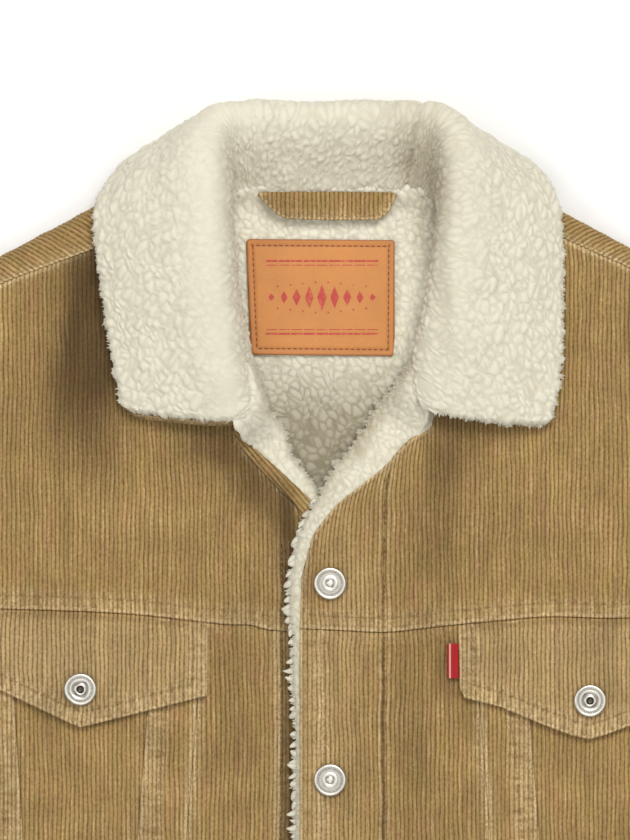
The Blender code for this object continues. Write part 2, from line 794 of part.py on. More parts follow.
def rounded_pad(outline, low, thickness, edge):
    """A pile edge: flat below, with a top that falls away round its outline."""
    closed = [tuple(p) for p in outline] + [tuple(outline[0])]

    def surface(x, y):
        share = clamp(distance_to_line(Vector((x, y)), closed) / edge, 0.0, 1.0)
        crown = 0.45 + 0.55 * sqrt(1.0 - (1.0 - share) ** 2)
        base = low(x, y)
        return (x, y, base + thickness(x, y) * crown), (x, y, base)

    return surface


def make_facings():
    """The pile that shows along the neck opening and the front edge."""
    under = ROLL_EDGE + PILE_EDGE_UNDER[::-1] + [(-50.0, -101.0)]
    surface = rounded_pad(under, lambda x, y: WALL + GAP, lambda x, y: 10.0, 5.0)
    add_panel("facing_left", under, surface, PILE_COLOUR, spacing=6.0)

    roll = UNDER_EDGE + ROLL_EDGE[::-1]
    surface = rounded_pad(roll, lambda x, y: WALL + GAP, lambda x, y: 10.2, 4.0)
    add_panel("neck_edge_left", roll, surface, CORDUROY_COLOUR, spacing=5.0)

    edge_x = CHEST_SEAM_AT_EDGE[1][0]
    edge = [(47.6, -111.5)] + OVER_EDGE + [(edge_x, WAIST_SEAM)]
    over = edge + PILE_EDGE_OVER[::-1]

    def low(x, y):
        return WALL + GAP + OVERLAP_RISE * smooth((-118.0 - y) / 34.0)

    def thickness(x, y):
        return 9.5 - 2.3 * smooth((-150.0 - y) / 40.0)

    surface = rounded_pad(over, low, thickness, 5.0)
    add_panel("facing_right", over, surface, PILE_COLOUR, spacing=8.0)


def make_neck_lining():
    surface = rounded_pad(LINING, lambda x, y: LINING_LOW, lambda x, y: WALL - LINING_LOW, 1.0)
    add_panel("lining_neck", LINING, surface, PILE_COLOUR, spacing=20.0)


def collar_sections():
    """Sections of the collar from front end to front end: seam, stand, roll, fall and edge."""
    rows = spline(COLLAR, COLLAR_STEPS)
    sections = []
    for row in rows:
        seam, roll, fall, edge = (Vector(row[i : i + 3]) for i in (0, 3, 6, 9))
        sections.append(spline([seam, roll, fall, edge], COLLAR_ACROSS))
    return sections


def collar_normals(sections):
    """Directions out of the pile side, from the neighbours of each point."""
    normals = []
    last_row = len(sections) - 1
    last = len(sections[0]) - 1
    for i, section in enumerate(sections):
        row = []
        for k in range(len(section)):
            along = sections[min(i + 1, last_row)][k] - sections[max(i - 1, 0)][k]
            across = section[min(k + 1, last)] - section[max(k - 1, 0)]
            row.append(across.cross(along).normalized() * -1.0)
        normals.append(row)
    return normals


def add_collar_layer(name, sections, normals, low, high, colour):
    """A layer of the collar between two distances from its middle surface."""
    width = len(sections[0])
    faces = []
    for i in range(len(sections) - 1):
        for k in range(width - 1):
            a = i * width + k
            b = a + width
            faces += [(a, a + 1, b + 1), (a, b + 1, b)]
    outer, inner = [], []
    for section, normal_row in zip(sections, normals):
        for k in range(width):
            share = k / (width - 1)
            outer.append(section[k] + normal_row[k] * high(share))
            inner.append(section[k] + normal_row[k] * low(share))
    add_wall(name, outer, inner, faces, colour)


def make_collar():
    sections = collar_sections()
    normals = collar_normals(sections)

    def pile_low(share):
        return GAP / 2

    def pile_high(share):
        grow = smooth(share / 0.25)
        taper = smooth((1.0 - share) / 0.12)
        height = COLLAR_PILE_AT_SEAM + (COLLAR_PILE - COLLAR_PILE_AT_SEAM) * grow
        return height * (0.55 + 0.45 * taper)

    def under_low(share):
        return -GAP / 2 - CORDUROY * (0.55 + 0.45 * smooth(share / 0.2))

    def under_high(share):
        return -GAP / 2

    trimmed = []
    for section in sections:
        section = list(section)
        last = (section[-1] - section[-2]).normalized()
        section[-1] = section[-1] - last * CORDUROY_SHOWS
        trimmed.append(section)
    add_collar_layer("collar_pile", trimmed, normals, pile_low, pile_high, PILE_COLOUR)
    add_collar_layer("under_collar", sections, normals, under_low, under_high, CORDUROY_COLOUR)


def sleeve_rows(side):
    """Fold points of the sleeve from the armhole to the cuff seam."""
    return spline([(*SHOULDER_TIP[side], *UNDERARM)] + SLEEVE, 3)


def sleeve_place(rows, along, across, side):
    """A point of the sleeve in the top view. along and across run from 0 to 1."""
    where = along * (len(rows) - 1)
    i = min(int(where), len(rows) - 2)
    row = rows[i].lerp(rows[i + 1], where - i)
    chord = Vector((row[0], row[1])).lerp(Vector((row[2], row[3])), across)
    curve = ARMHOLE_CURVE[side]
    step = across * (len(curve) - 1)
    k = min(int(step), len(curve) - 2)
    on_armhole = curve[k].lerp(curve[k + 1], step - k)
    straight = Vector(SHOULDER_TIP[side]).lerp(Vector(UNDERARM), across)
    fade = (1.0 - clamp(along / 0.4, 0.0, 1.0)) ** 2
    place = chord + (on_armhole - straight) * fade
    ease = UNDERARM_EASE * smooth((across - 0.8) / 0.2)
    ease += SHOULDER_EASE * (1.0 - smooth((across - 0.05) / 0.2))
    apart = (GAP + ease) * fade
    return Vector((side * (place.x + apart), place.y))


def sleeve_lift(along, across):
    total = 0.0
    for at, middle, length, width, height in SLEEVE_FOLDS:
        bell = 1.0 / (1.0 + ((along - at - 0.06 * (across - middle)) / width) ** 4)
        total += height * bell * (1.0 - smooth(abs(across - middle) / length))
    return total * smooth(along / 0.12) * smooth((1.0 - along) / 0.06)


def sleeve_bend(along):
    """Outer radius of the sleeve's folds, less towards the cuff."""
    return BEND + (SLEEVE_BEND - BEND) * smooth(along * 1.1)


def add_sleeve_half(name, side, top, rows):
    """Upper or under half of a flattened sleeve, round at both folds."""
    points = {True: [], False: []}
    for j in range(SLEEVE_STEPS + 1):
        along = j / SLEEVE_STEPS
        outer_end = sleeve_place(rows, along, 0.0, side)
        inner_end = sleeve_place(rows, along, 1.0, side)
        width = (outer_end - inner_end).length
        bend = sleeve_bend(along)
        cut = width + (pi - 2.0) * bend
        stops = [bend * pi / 2 * share for share in (0.02, 0.33, 0.66)]
        for k in range(SLEEVE_ACROSS + 1):
            stops.append(bend * pi / 2 + (width - 2 * bend) * k / SLEEVE_ACROSS)
        stops += [cut - stop for stop in stops[2::-1]]
        for is_outer in (True, False):
            radius = bend if is_outer else GAP / 2
            for stop in stops:
                if stop < bend * pi / 2:
                    angle = pi / 2 - stop / bend
                    place, height = bend - radius * sin(angle), radius * cos(angle)
                elif stop > cut - bend * pi / 2:
                    angle = (stop - cut) / bend + pi / 2
                    place, height = width - bend + radius * sin(angle), radius * cos(angle)
                else:
                    place, height = stop - bend * pi / 2 + bend, radius
                across = place / width
                spot = sleeve_place(rows, along, across, side)
                rise = sleeve_lift(along, across) if top else 0.0
                z = bend + height + rise if top else bend - height
                points[is_outer].append((spot.x, spot.y, z))
    columns = len(points[True]) // (SLEEVE_STEPS + 1)
    faces = []
    for j in range(SLEEVE_STEPS):
        for k in range(columns - 1):
            a = j * columns + k
            b = a + columns
            faces += [(a, a + 1, b + 1), (a, b + 1, b)]
    add_wall(name, points[True], points[False], faces, CORDUROY_COLOUR)


def make_sleeve(side):
    rows = sleeve_rows(side)
    name = SIDE_NAME[side]
    for top, part in ((True, "top"), (False, "under")):
        add_sleeve_half(f"sleeve_{part}_{name}", side, top, rows)

    last, before = rows[-1], rows[-2]
    outer_way = Vector((last[0] - before[0], last[1] - before[1])).normalized()
    inner_way = Vector((last[2] - before[2], last[3] - before[3])).normalized()
    way = (outer_way + inner_way).normalized()
    start = [Vector((last[0], last[1])) + way * GAP, Vector((last[2], last[3])) + way * GAP]
    foot = [end + way * CUFF_LENGTH for end in start]
    cuff = [Vector((*start[0], *start[1])), Vector((*foot[0], *foot[1]))]
    for top, part in ((True, "top"), (False, "under")):
        add_cuff_half(f"cuff_{part}_{name}", side, top, cuff)
    inward = (start[0] - start[1]).normalized()
    spot = (start[1] + foot[1]) / 2 + inward * CUFF_BUTTON_INSET
    add_button(f"cuff_button_{name}", side * spot.x, spot.y, CUFF_BEND * 2)


def add_cuff_half(name, side, top, cuff):
    """Upper or under half of a flattened cuff. cuff: its fold points at the seam and at the end."""

    def place(along, across):
        row = cuff[0].lerp(cuff[1], along)
        spot = Vector((row[0], row[1])).lerp(Vector((row[2], row[3])), across)
        return Vector((side * spot.x, spot.y))

    width = (place(0.0, 0.0) - place(0.0, 1.0)).length
    outer, inner = [], []
    angles = [pi / 2 * k / 3 for k in range(4)]
    stops = [(0.0, angle) for angle in angles] + [(1.0, angle) for angle in angles[::-1]]
    for along in (0.0, 0.5, 1.0):
        for end, angle in stops:
            for radius, target in ((CUFF_BEND, outer), (GAP / 2, inner)):
                reach = CUFF_BEND - radius * cos(angle)
                across = reach / width if end == 0.0 else 1.0 - reach / width
                spot = place(along, across)
                height = radius * sin(angle) + GAP / 2
                z = CUFF_BEND + height if top else CUFF_BEND - height
                target.append((spot.x, spot.y, max(z, 0.0)))
    faces = []
    for j in range(2):
        for k in range(len(stops) - 1):
            a = j * len(stops) + k
            b = a + len(stops)
            faces += [(a, a + 1, b + 1), (a, b + 1, b)]
    add_wall(name, outer, inner, faces, CORDUROY_COLOUR)


def add_button(name, x, y, surface_z):
    """A turned metal button: a domed ring round a small raised centre."""
    points, faces = [], []
    base = surface_z + GAP
    for share, height in BUTTON_PROFILE:
        for k in range(BUTTON_SIDES):
            angle = 2 * pi * k / BUTTON_SIDES
            radius = share * BUTTON_RADIUS
            points.append((x + radius * cos(angle), y + radius * sin(angle), base + height))
    for ring in range(len(BUTTON_PROFILE) - 1):
        for k in range(BUTTON_SIDES):
            a = ring * BUTTON_SIDES + k
            b = ring * BUTTON_SIDES + (k + 1) % BUTTON_SIDES
            faces.append((a, b, b + BUTTON_SIDES, a + BUTTON_SIDES))
    faces.append(tuple(reversed(range(BUTTON_SIDES))))
    last = (len(BUTTON_PROFILE) - 1) * BUTTON_SIDES
    faces.append(tuple(range(last, last + BUTTON_SIDES)))
    add_object(name, points, faces, METAL_COLOUR, roughness=0.35, metallic=1.0)


def highest_under(surface, x, y, radius):
    """The highest point of a surface under a round piece."""
    spots = [(x, y)]
    spots += [(x + radius * cos(a * pi / 6), y + radius * sin(a * pi / 6)) for a in range(12)]
    return max(surface(*spot)[0][2] for spot in spots)


def make_pockets():
    for side in (-1, 1):
        wall = front_wall(side == 1, STRIP_STEP)
        flap = laid_on(wall, 2 * GAP, 2 * GAP + FLAP_THICKNESS)
        name = "pocket_flap_" + SIDE_NAME[side]
        add_panel(name, FLAPS[side], flap, spacing=14.0)
        x, y = FLAP_BUTTONS[side]
        top = highest_under(flap, x, y, BUTTON_RADIUS)
        add_button("flap_button_" + SIDE_NAME[side], x, y, top)
    wall = front_wall(True, STRIP_STEP)
    surface = laid_on(wall, GAP + 1.0, GAP + 1.0 + TAB_THICKNESS)
    add_panel("flap_tab", TAB, surface, TAB_COLOUR, spacing=9.0)


def make_front_buttons():
    wall = front_wall(True)
    for i in range(FRONT_BUTTONS):
        y = FIRST_BUTTON_Y - i * BUTTON_SPACING
        top = highest_under(wall, FRONT_BUTTON_X, y, BUTTON_RADIUS)
        add_button(f"front_button_{i + 1}", FRONT_BUTTON_X, y, top)
    band = front_wall(True, STRIP_STEP)
    top = highest_under(band, FRONT_BUTTON_X, WAISTBAND_BUTTON_Y, BUTTON_RADIUS)
    add_button("waistband_button", FRONT_BUTTON_X, WAISTBAND_BUTTON_Y, top)


def make_neck_trim():
    def patch_surface(x, y):
        low = WALL + PATCH_LIFT
        return (x, y, low + PATCH_THICKNESS), (x, y, low)

    add_panel("neck_patch", PATCH, patch_surface, LEATHER_COLOUR, spacing=26.0, roughness=0.6)

    def loop_surface(x, y):
        low = LOOP_LOW - 1.6 * smooth(-y / 13.0)
        return (x, y, low + LOOP_THICKNESS), (x, y, low)

    add_panel("hang_loop", LOOP, loop_surface, spacing=9.0)


def clear_scene():
    for obj in list(bpy.data.objects):
        bpy.data.objects.remove(obj, do_unlink=True)


def main():
    clear_scene()
    make_back_yoke()
    make_back()
    for side in (-1, 1):
        make_front_yoke(side)
        make_front_panels(side)
        make_sleeve(side)
    make_facings()
    make_neck_lining()
    make_collar()
    make_pockets()
    make_front_buttons()
    make_neck_trim()


main()
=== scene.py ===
import math

import bpy
import numpy as np
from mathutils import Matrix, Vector, noise


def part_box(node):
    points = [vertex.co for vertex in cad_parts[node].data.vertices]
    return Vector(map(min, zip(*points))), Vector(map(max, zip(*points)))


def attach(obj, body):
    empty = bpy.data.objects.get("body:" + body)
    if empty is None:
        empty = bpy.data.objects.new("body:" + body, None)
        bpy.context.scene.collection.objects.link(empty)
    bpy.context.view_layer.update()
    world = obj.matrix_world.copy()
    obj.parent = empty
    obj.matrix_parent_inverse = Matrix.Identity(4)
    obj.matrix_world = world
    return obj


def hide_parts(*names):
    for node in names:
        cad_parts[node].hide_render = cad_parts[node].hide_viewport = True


print("loading the frame")
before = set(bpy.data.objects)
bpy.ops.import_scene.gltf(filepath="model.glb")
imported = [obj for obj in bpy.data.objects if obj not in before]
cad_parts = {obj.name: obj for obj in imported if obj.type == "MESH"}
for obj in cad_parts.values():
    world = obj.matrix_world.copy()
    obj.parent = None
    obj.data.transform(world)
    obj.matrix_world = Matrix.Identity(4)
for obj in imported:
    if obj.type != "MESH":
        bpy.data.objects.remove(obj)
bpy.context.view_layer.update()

mm = 0.001
middleY = -295.4  # here x = 0 is the centre front and y = 0 the back neck seam, in millimetres
sideNames = {-1: "left", 1: "right"}  # as seen from above
noise.seed_set(7)

garment = {
    "bend": 8.45,  # outer radius of a folded side, and height of the middle plane
    "waistSeam": -595.0,
    "hem": -640.0,
    "waleWidth": 2.3,
    "waleDepth": 0.55,
    "framedLow": -345.0,  # above this the rows are close together
    "hemRim": 8.1,  # thickness of the waistband's turned edge
}
bend = garment["bend"]
waistSeam, hem = garment["waistSeam"], garment["hem"]


def smooth(t):
    t = np.clip(t, 0.0, 1.0)
    return t * t * (3.0 - 2.0 * t)


def bell(t):
    # 1 at its middle, falling away on both sides
    return np.exp(-(t**2))


def quarterRound(t):
    # the height of a rounded edge, from 0 at its outside to 1
    return np.sqrt(1.0 - (1.0 - np.clip(t, 0.0, 1.0)) ** 2)


def unit(ways):
    return ways / (np.linalg.norm(ways, axis=-1, keepdims=True) + 1e-9)


def lookup(table, key):
    rows = np.array(sorted(table), float)
    return np.interp(key, rows[:, 0], rows[:, 1])


def spline(rows, steps):
    rows = np.array(rows, float)
    padded = np.vstack([2 * rows[0] - rows[1], rows, 2 * rows[-1] - rows[-2]])
    t = (np.arange(steps) / steps)[:, None]
    parts = []
    for i in range(1, len(padded) - 2):
        a, b, c, d = padded[i - 1 : i + 3]
        curve = (2 * a - 5 * b + 4 * c - d) * t * t + (3 * b - a - 3 * c + d) * t**3
        parts.append(0.5 * (2 * b + (c - a) * t + curve))
    return np.vstack(parts + [rows[-1:]])


def smoothLine(points, steps):
    return [tuple(p) for p in spline(points, steps)]


def between(rows, share):
    # straight-line reading of rows by a share of the way through them
    where = np.clip(share, 0.0, 1.0) * (len(rows) - 1)
    i = np.minimum(where.astype(int), len(rows) - 2)
    return rows[i] + (rows[i + 1] - rows[i]) * (where - i)[:, None]


def lineLength(line):
    return np.concatenate([[0.0], np.cumsum(np.linalg.norm(np.diff(line, axis=0), axis=1))])


def pointsAt(line, run, at):
    # the points of a line at these distances along it
    return np.stack([np.interp(at, run, line[:, k]) for k in range(line.shape[1])], axis=1)


def spaced(line, step):
    # the same line with points at an even distance
    line = np.array(line, float)
    run = lineLength(line)
    return pointsAt(line, run, np.linspace(0.0, run[-1], max(2, int(round(run[-1] / step)) + 1)))


def spacedRound(outline, step):
    return spaced(list(outline) + [outline[0]], step)[:-1]


def beside(line, distance):
    # the line moved to its left
    line = spaced(line, 2.0)
    step = unit(np.gradient(line, axis=0))
    return line + np.stack([-step[:, 1], step[:, 0]], axis=1) * distance


def nearLine(points, line, closed=False):
    # distance to the line, and how far along it the nearest point is
    line = np.array(line, float)
    if closed:
        line = np.vstack([line, line[:1]])
    best = np.full(len(points), 1e9)
    along = np.zeros(len(points))
    run = 0.0
    for a, b in zip(line[:-1], line[1:]):
        way = b - a
        long = math.hypot(*way)
        if long < 1e-9:
            continue
        t = np.clip(((points - a) @ way) / long**2, 0.0, 1.0)
        gap = np.linalg.norm(points - a - t[:, None] * way, axis=1)
        closer = gap < best
        best[closer] = gap[closer]
        along[closer] = (run + t * long)[closer]
        run += long
    return best, along


def inside(points, poly):
    found = np.zeros(len(points), bool)
    for a, b in zip(poly, np.roll(poly, -1, axis=0)):
        hit = (a[1] > points[:, 1]) != (b[1] > points[:, 1])
        if abs(b[1] - a[1]) > 1e-9:
            found ^= hit & (points[:, 0] < a[0] + (points[:, 1] - a[1]) * (b[0] - a[0]) / (b[1] - a[1]))
    return found


def signedArea(poly):
    x, y = poly[:, 0], poly[:, 1]
    return (np.dot(x, np.roll(y, -1)) - np.dot(y, np.roll(x, -1))) / 2


def turned(points, angle):
    c, s = math.cos(angle), math.sin(angle)
    return np.asarray(points, float) @ np.array([[c, s], [-s, c]])


def rumple(points, size, seed):
    # soft noise from about -1 to 1, one value for each place on the cloth
    shift = seed * 13.7
    return np.array([noise.noise(Vector((x / size + shift, y / size, shift))) for x, y in points]) * 1.6


def makeMesh(name, points, faces, material, values=None, cut=None):
    # points in garment millimetres, faces as rows of corner numbers
    points = np.asarray(points, float)
    high = np.maximum(points[:, 2], 0.0)  # nothing reaches below the surface it lies on
    placed = np.stack([points[:, 0], points[:, 1] - middleY, high], axis=1) * mm
    faces = np.asarray(faces, np.int32)
    count, corners = faces.shape
    mesh = bpy.data.meshes.new(name)
    mesh.vertices.add(len(placed))
    mesh.vertices.foreach_set("co", placed.astype(np.float32).ravel())
    mesh.loops.add(count * corners)
    mesh.loops.foreach_set("vertex_index", faces.ravel())
    mesh.polygons.add(count)
    mesh.polygons.foreach_set("loop_start", np.arange(count, dtype=np.int32) * corners)
    mesh.update(calc_edges=True)
    mesh.shade_smooth()
    for key, value in (values or {}).items():
        layer = mesh.attributes.new(key, "FLOAT", "POINT")
        layer.data.foreach_set("value", np.asarray(value, np.float32))
    if cut is not None:  # where each point is on the flat cloth
        flat = np.zeros((len(placed), 3), np.float32)
        flat[:, : cut.shape[1]] = cut
        mesh.attributes.new("cut", "FLOAT_VECTOR", "POINT").data.foreach_set("vector", flat.ravel())
    mesh.materials.append(material)
    obj = bpy.data.objects.new(name, mesh)
    bpy.context.scene.collection.objects.link(obj)
    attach(obj, "root")
    return obj


def openEdges(faces, count):
    edges = np.vstack([faces[:, [0, 1]], faces[:, [1, 2]], faces[:, [2, 0]]]).astype(np.int64)
    here = edges[:, 0] * count + edges[:, 1]
    back = edges[:, 1] * count + edges[:, 0]
    return edges[~np.isin(here, back)]


def gridFaces(rows, columns):
    a = (np.arange(rows - 1)[:, None] * columns + np.arange(columns - 1)[None, :]).ravel()
    b = a + columns
    return np.vstack([np.stack([a, a + 1, b + 1], 1), np.stack([a, b + 1, b], 1)])


def ringFaces(rings, sides):
    # the triangles between rings of points that each go all the way round
    first = np.arange(rings - 1)[:, None] * sides
    a, b = (first + np.arange(sides)).ravel(), (first + (np.arange(sides) + 1) % sides).ravel()
    return np.vstack([np.stack([a, b, b + sides], 1), np.stack([a, b + sides, a + sides], 1)])


def capFaces(first, sides, tip):
    # the triangles from a ring to the one point that closes it
    return np.array([(first + k, first + (k + 1) % sides, tip) for k in range(sides)])


def repeated(faces, pointsEach, count):
    # the same triangles once for each of many small shapes
    return (faces[None] + np.arange(count)[:, None, None] * pointsEach).reshape(-1, 3)


def upward(count):
    return np.tile((0.0, 0.0, 1.0), (count, 1))


def spread(low, high, rows, edgeSteps):
    # places along a column: close together near both ends, on shared rows between them
    half = (high - low) / 2
    near = np.array([e for e in edgeSteps if e < half - 0.15])
    last = near[-1]
    inner = rows[(rows > low + last + 0.8) & (rows < high - last - 0.8)]
    return np.concatenate([low + near, inner, high - near[::-1]])


def zipColumns(left, right, faces):
    (a, va), (b, vb) = left, right
    i = j = 0
    while i < len(a) - 1 or j < len(b) - 1:
        if j == len(b) - 1 or (i < len(a) - 1 and va[i + 1] <= vb[j + 1]):
            faces.append((a[i], b[j], a[i + 1]))
            i += 1
        else:
            faces.append((a[i], b[j], b[j + 1]))
            j += 1


def shares(span, partners):
    # the part of a span that goes with each span it meets in the next column
    marks = [0]
    for p, q in zip(partners, partners[1:]):
        marks.append(int(np.argmin(np.abs(span[1] - (p[1][-1] + q[1][0]) / 2))))
    marks.append(len(span[0]) - 1)
    return [(span[0][i : j + 1], span[1][i : j + 1]) for i, j in zip(marks, marks[1:])]


def ladder(poly, columns, rows, edgeSteps):
    # fills an outline with columns along the grain of the cloth
    points, faces, before, total = [], [], [], 0
    nextTo = np.roll(poly, -1, axis=0)
    for u in columns:
        hit = (poly[:, 0] > u) != (nextTo[:, 0] > u)
        t = (u - poly[hit, 0]) / (nextTo[hit, 0] - poly[hit, 0])
        marks = np.sort(poly[hit, 1] + t * (nextTo[hit, 1] - poly[hit, 1]))
        spans = []
        for low, high in zip(marks[::2], marks[1::2]):
            if high - low > 0.35:
                v = spread(low, high, rows, edgeSteps)
                spans.append((np.arange(total, total + len(v)), v))
                points.append(np.stack([np.full(len(v), u), v], axis=1))
                total += len(v)
        pairs = [(i, j) for i, p in enumerate(before) for j, s in enumerate(spans)
                 if min(p[1][-1], s[1][-1]) > max(p[1][0], s[1][0])]
        lefts, rights = {}, {}
        for i, p in enumerate(before):
            met = [j for k, j in pairs if k == i]
            lefts.update({(i, j): part for j, part in zip(met, shares(p, [spans[j] for j in met]))})
        for j, s in enumerate(spans):
            met = [i for i, k in pairs if k == j]
            rights.update({(i, j): part for i, part in zip(met, shares(s, [before[i] for i in met]))})
        for pair in pairs:
            zipColumns(lefts[pair], rights[pair], faces)
        before = spans
    return np.vstack(points), np.array(faces, np.int32)


def linear(hexColour):
    channels = [int(hexColour[i : i + 2], 16) / 255 for i in (1, 3, 5)]
    return [c / 12.92 if c <= 0.04045 else ((c + 0.055) / 1.055) ** 2.4 for c in channels] + [1.0]


def addNode(tree, kind, inputs=None, output=0, **settings):
    # adds a node with its settings and links, and gives back one of its outputs
    node = tree.nodes.new("ShaderNode" + kind)
    for name, value in settings.items():
        setattr(node, name, value)
    for name, value in (inputs or {}).items():
        if isinstance(value, bpy.types.NodeSocket):
            tree.links.new(value, node.inputs[name])
        else:
            node.inputs[name].default_value = value
    return node.outputs[output]


mixed = {"data_type": "RGBA", "output": "Result"}  # settings that several nodes share
times = {"operation": "MULTIPLY", "use_clamp": True}
plus = {"operation": "ADD", "use_clamp": True}


def newMaterial(name, sockets):
    material = bpy.data.materials.new(name)
    material.use_nodes = True
    shader = material.node_tree.nodes["Principled BSDF"]
    for key, value in sockets.items():
        shader.inputs[key].default_value = value
    return material, material.node_tree, shader


def dress(tree, shader, colour, relief=None, strength=0.0, distance=0.0):
    # gives the shader its colour and the fine relief that is too small to model
    tree.links.new(colour, shader.inputs["Base Color"])
    if relief is not None:
        bump = addNode(tree, "Bump", {"Height": relief, "Strength": strength, "Distance": distance})
        tree.links.new(bump, shader.inputs["Normal"])


def varied(tree, colour, *parts):
    # the colour made lighter and darker by each noise, by its amount
    value = None
    for source, amount in parts:
        share = addNode(tree, "Math", {0: source, 1: amount, 2: 1.0 - amount / 2}, operation="MULTIPLY_ADD")
        value = share if value is None else addNode(tree, "Math", {0: value, 1: share}, operation="MULTIPLY")
    return addNode(tree, "VectorMath", {0: colour, "Scale": value}, operation="SCALE")


def makeCorduroy(name, ridge, redder, groove, worn, shadow):
    # cotton corduroy, woven with a cut pile: each wale is a soft ridge that catches light, and the
    # ground between two wales is darker, partly its own colour and partly painted shade
    material, tree, shader = newMaterial(name, {
        "Roughness": 0.9, "Sheen Weight": 0.25, "Sheen Roughness": 0.5, "Sheen Tint": linear("#e6cd9e"),
        "Specular IOR Level": 0.25})
    cutAt = addNode(tree, "Attribute", output="Vector", attribute_name="cut")
    deep, wearAndPaintedLight, paintedShade = (addNode(tree, "Attribute", output="Fac", attribute_name=layer)
                       for layer in ("groove", "wearAndPaintedLight", "paintedShade"))

    def woven(scale, detail, rough=0.5):  # scale per millimetre across and along the wales
        at = addNode(tree, "Mapping", {"Vector": cutAt, "Scale": (*scale, 1.0)})
        sockets = {"Vector": at, "Scale": 1.0, "Detail": detail, "Roughness": rough}
        return addNode(tree, "TexNoise", sockets, "Fac")

    tufts = addNode(tree, "MapRange", {  # the cut pile's tufts, about 1.5 mm
        "Value": woven((0.85, 0.6), 3.0, 0.7), "From Min": 0.33, "From Max": 0.67})
    gaps = addNode(tree, "MapRange", {  # pile that closes over the ground, 2 mm
        "Value": woven((0.5, 0.45), 2.0), "From Min": 0.3, "From Max": 0.62})
    streaks = woven((0.9, 0.05), 2.0)  # rubbed lengths of a wale, 20 mm
    wales = woven((0.435, 0.010), 1.0)  # one wale is lighter or darker than the next
    patches = woven((0.055, 0.04), 4.0, 0.65)  # handling, 20 mm
    clouds = woven((0.012, 0.009), 2.0)  # dye, 100 mm
    warmth = addNode(tree, "MapRange", {  # where the dye is redder, 10 mm
        "Value": woven((0.11, 0.05), 3.0, 0.6), "From Min": 0.42, "From Max": 0.66, "To Max": 0.55})
    # the groove colour: the ground's own darker colour between the wales, and painted shade in the stitch
    # troughs, pucker hollows and on the cut edges' sides
    onWale = addNode(tree, "Math", {0: 1.0, 1: deep}, operation="SUBTRACT", use_clamp=True)
    half = addNode(tree, "Math", {0: deep, 1: 0.5}, **times)
    shut = addNode(tree, "Math", {0: addNode(tree, "Math", {0: deep, 1: gaps}, **times), 1: 0.55}, **times)
    inGroove = addNode(tree, "Math", {0: half, 1: shut}, **plus)
    # painted light, towards the worn colour, where the cloth's listed shades are below 0, and painted shadow
    # where they are above it
    paintedLight = addNode(tree, "Math", {0: paintedShade, 1: -2.2}, **times)
    paintedShadow = addNode(tree, "Math", {0: paintedShade, 1: 1.15}, **times)
    dyed = addNode(tree, "Mix", {"Factor": warmth, "A": linear(ridge), "B": linear(redder)}, **mixed)
    pileTone = addNode(tree, "Mix", {"Factor": paintedLight, "A": dyed, "B": linear(worn)}, **mixed)
    base = addNode(tree, "Mix", {"Factor": inGroove, "A": pileTone, "B": linear(groove)}, **mixed)
    rubs = addNode(tree, "MapRange", {"Value": streaks, "From Min": 0.5, "From Max": 0.75, "To Max": 0.45})
    rubbed = addNode(tree, "Math", {0: rubs, 1: onWale}, **times)
    pale = addNode(tree, "MapRange", {"Value": tufts, "From Min": 0.0, "From Max": 1.0, "To Max": 1.1})
    worse = addNode(tree, "Math", {0: wearAndPaintedLight, 1: rubbed}, **plus)
    most = addNode(tree, "Math", {0: pale, 1: 0.35}, **plus)
    amount = addNode(tree, "Math", {0: worse, 1: most}, **times)
    faded = addNode(tree, "Mix", {"Factor": amount, "A": base, "B": linear(worn)}, **mixed)
    tone = varied(tree, faded, (tufts, 0.42), (wales, 0.5), (patches, 0.75), (clouds, 0.4), (streaks, 0.3))
    # the painted shadow goes on last, towards the shadow colour
    tone = addNode(tree, "Mix", {"Factor": paintedShadow, "A": tone, "B": linear(shadow)}, **mixed)
    dress(tree, shader, tone, woven((1.7, 1.3), 3.0, 0.6), 0.8, 0.0007)
    return material


def makeSherpa(name, top, hollow):
    # polyester pile fleece, brushed into curls: matt and pale, with painted shade in a warmer, darker colour
    # between the curls, on its sides and where it lies in shadow
    material, tree, shader = newMaterial(name, {
        "Roughness": 1.0, "Sheen Weight": 0.15, "Sheen Roughness": 0.6, "Sheen Tint": linear("#fffaf0"),
        "Specular IOR Level": 0.05, "Subsurface Weight": 0.35, "Subsurface Radius": (1.0, 0.9, 0.7),
        "Subsurface Scale": 0.004})
    where = addNode(tree, "TexCoord", output="Object")
    deep = addNode(tree, "Attribute", output="Fac", attribute_name="depth")
    fibres, clumps, strands = (  # scale per metre: 1 mm, 20 mm and about 0.5 mm long
        addNode(tree, "TexNoise", {"Vector": where, "Scale": scale, "Detail": fine, "Distortion": bent}, "Fac")
        for scale, fine, bent in ((1100.0, 3.0, 0.6), (45.0, 2.0, 0.0), (900.0, 2.0, 1.2)))
    # painted shade, by the depth attribute, towards the hollow colour
    base = addNode(tree, "Mix", {"Factor": deep, "A": linear(top), "B": linear(hollow)}, **mixed)
    dress(tree, shader, varied(tree, base, (fibres, 0.16), (clumps, 0.08)), strands, 0.25, 0.0005)
    return material


def makeThread(name, colour):
    # spun polyester sewing thread: a tight satin twist
    material, tree, shader = newMaterial(name, {"Roughness": 0.55, "Specular IOR Level": 0.4})
    where = addNode(tree, "TexCoord", output="Object")
    twist = addNode(tree, "TexNoise", {"Vector": where, "Scale": 1500.0, "Detail": 1.0}, "Fac")
    tint = addNode(tree, "RGB")
    tint.default_value = linear(colour)
    dress(tree, shader, varied(tree, tint, (twist, 0.35)))
    return material


print("making the materials")
corduroy = makeCorduroy("cottonCorduroy", "#a68a54", "#a8805a", "#5f431d", "#ccb285", "#33200c")
sherpa = makeSherpa("polyesterSherpa", "#dbd6c2", "#9a8e73")
sherpaLining = makeSherpa("polyesterSherpaLining", "#e4dfcb", "#908770")
tanThread = makeThread("tanThread", "#9d8150")


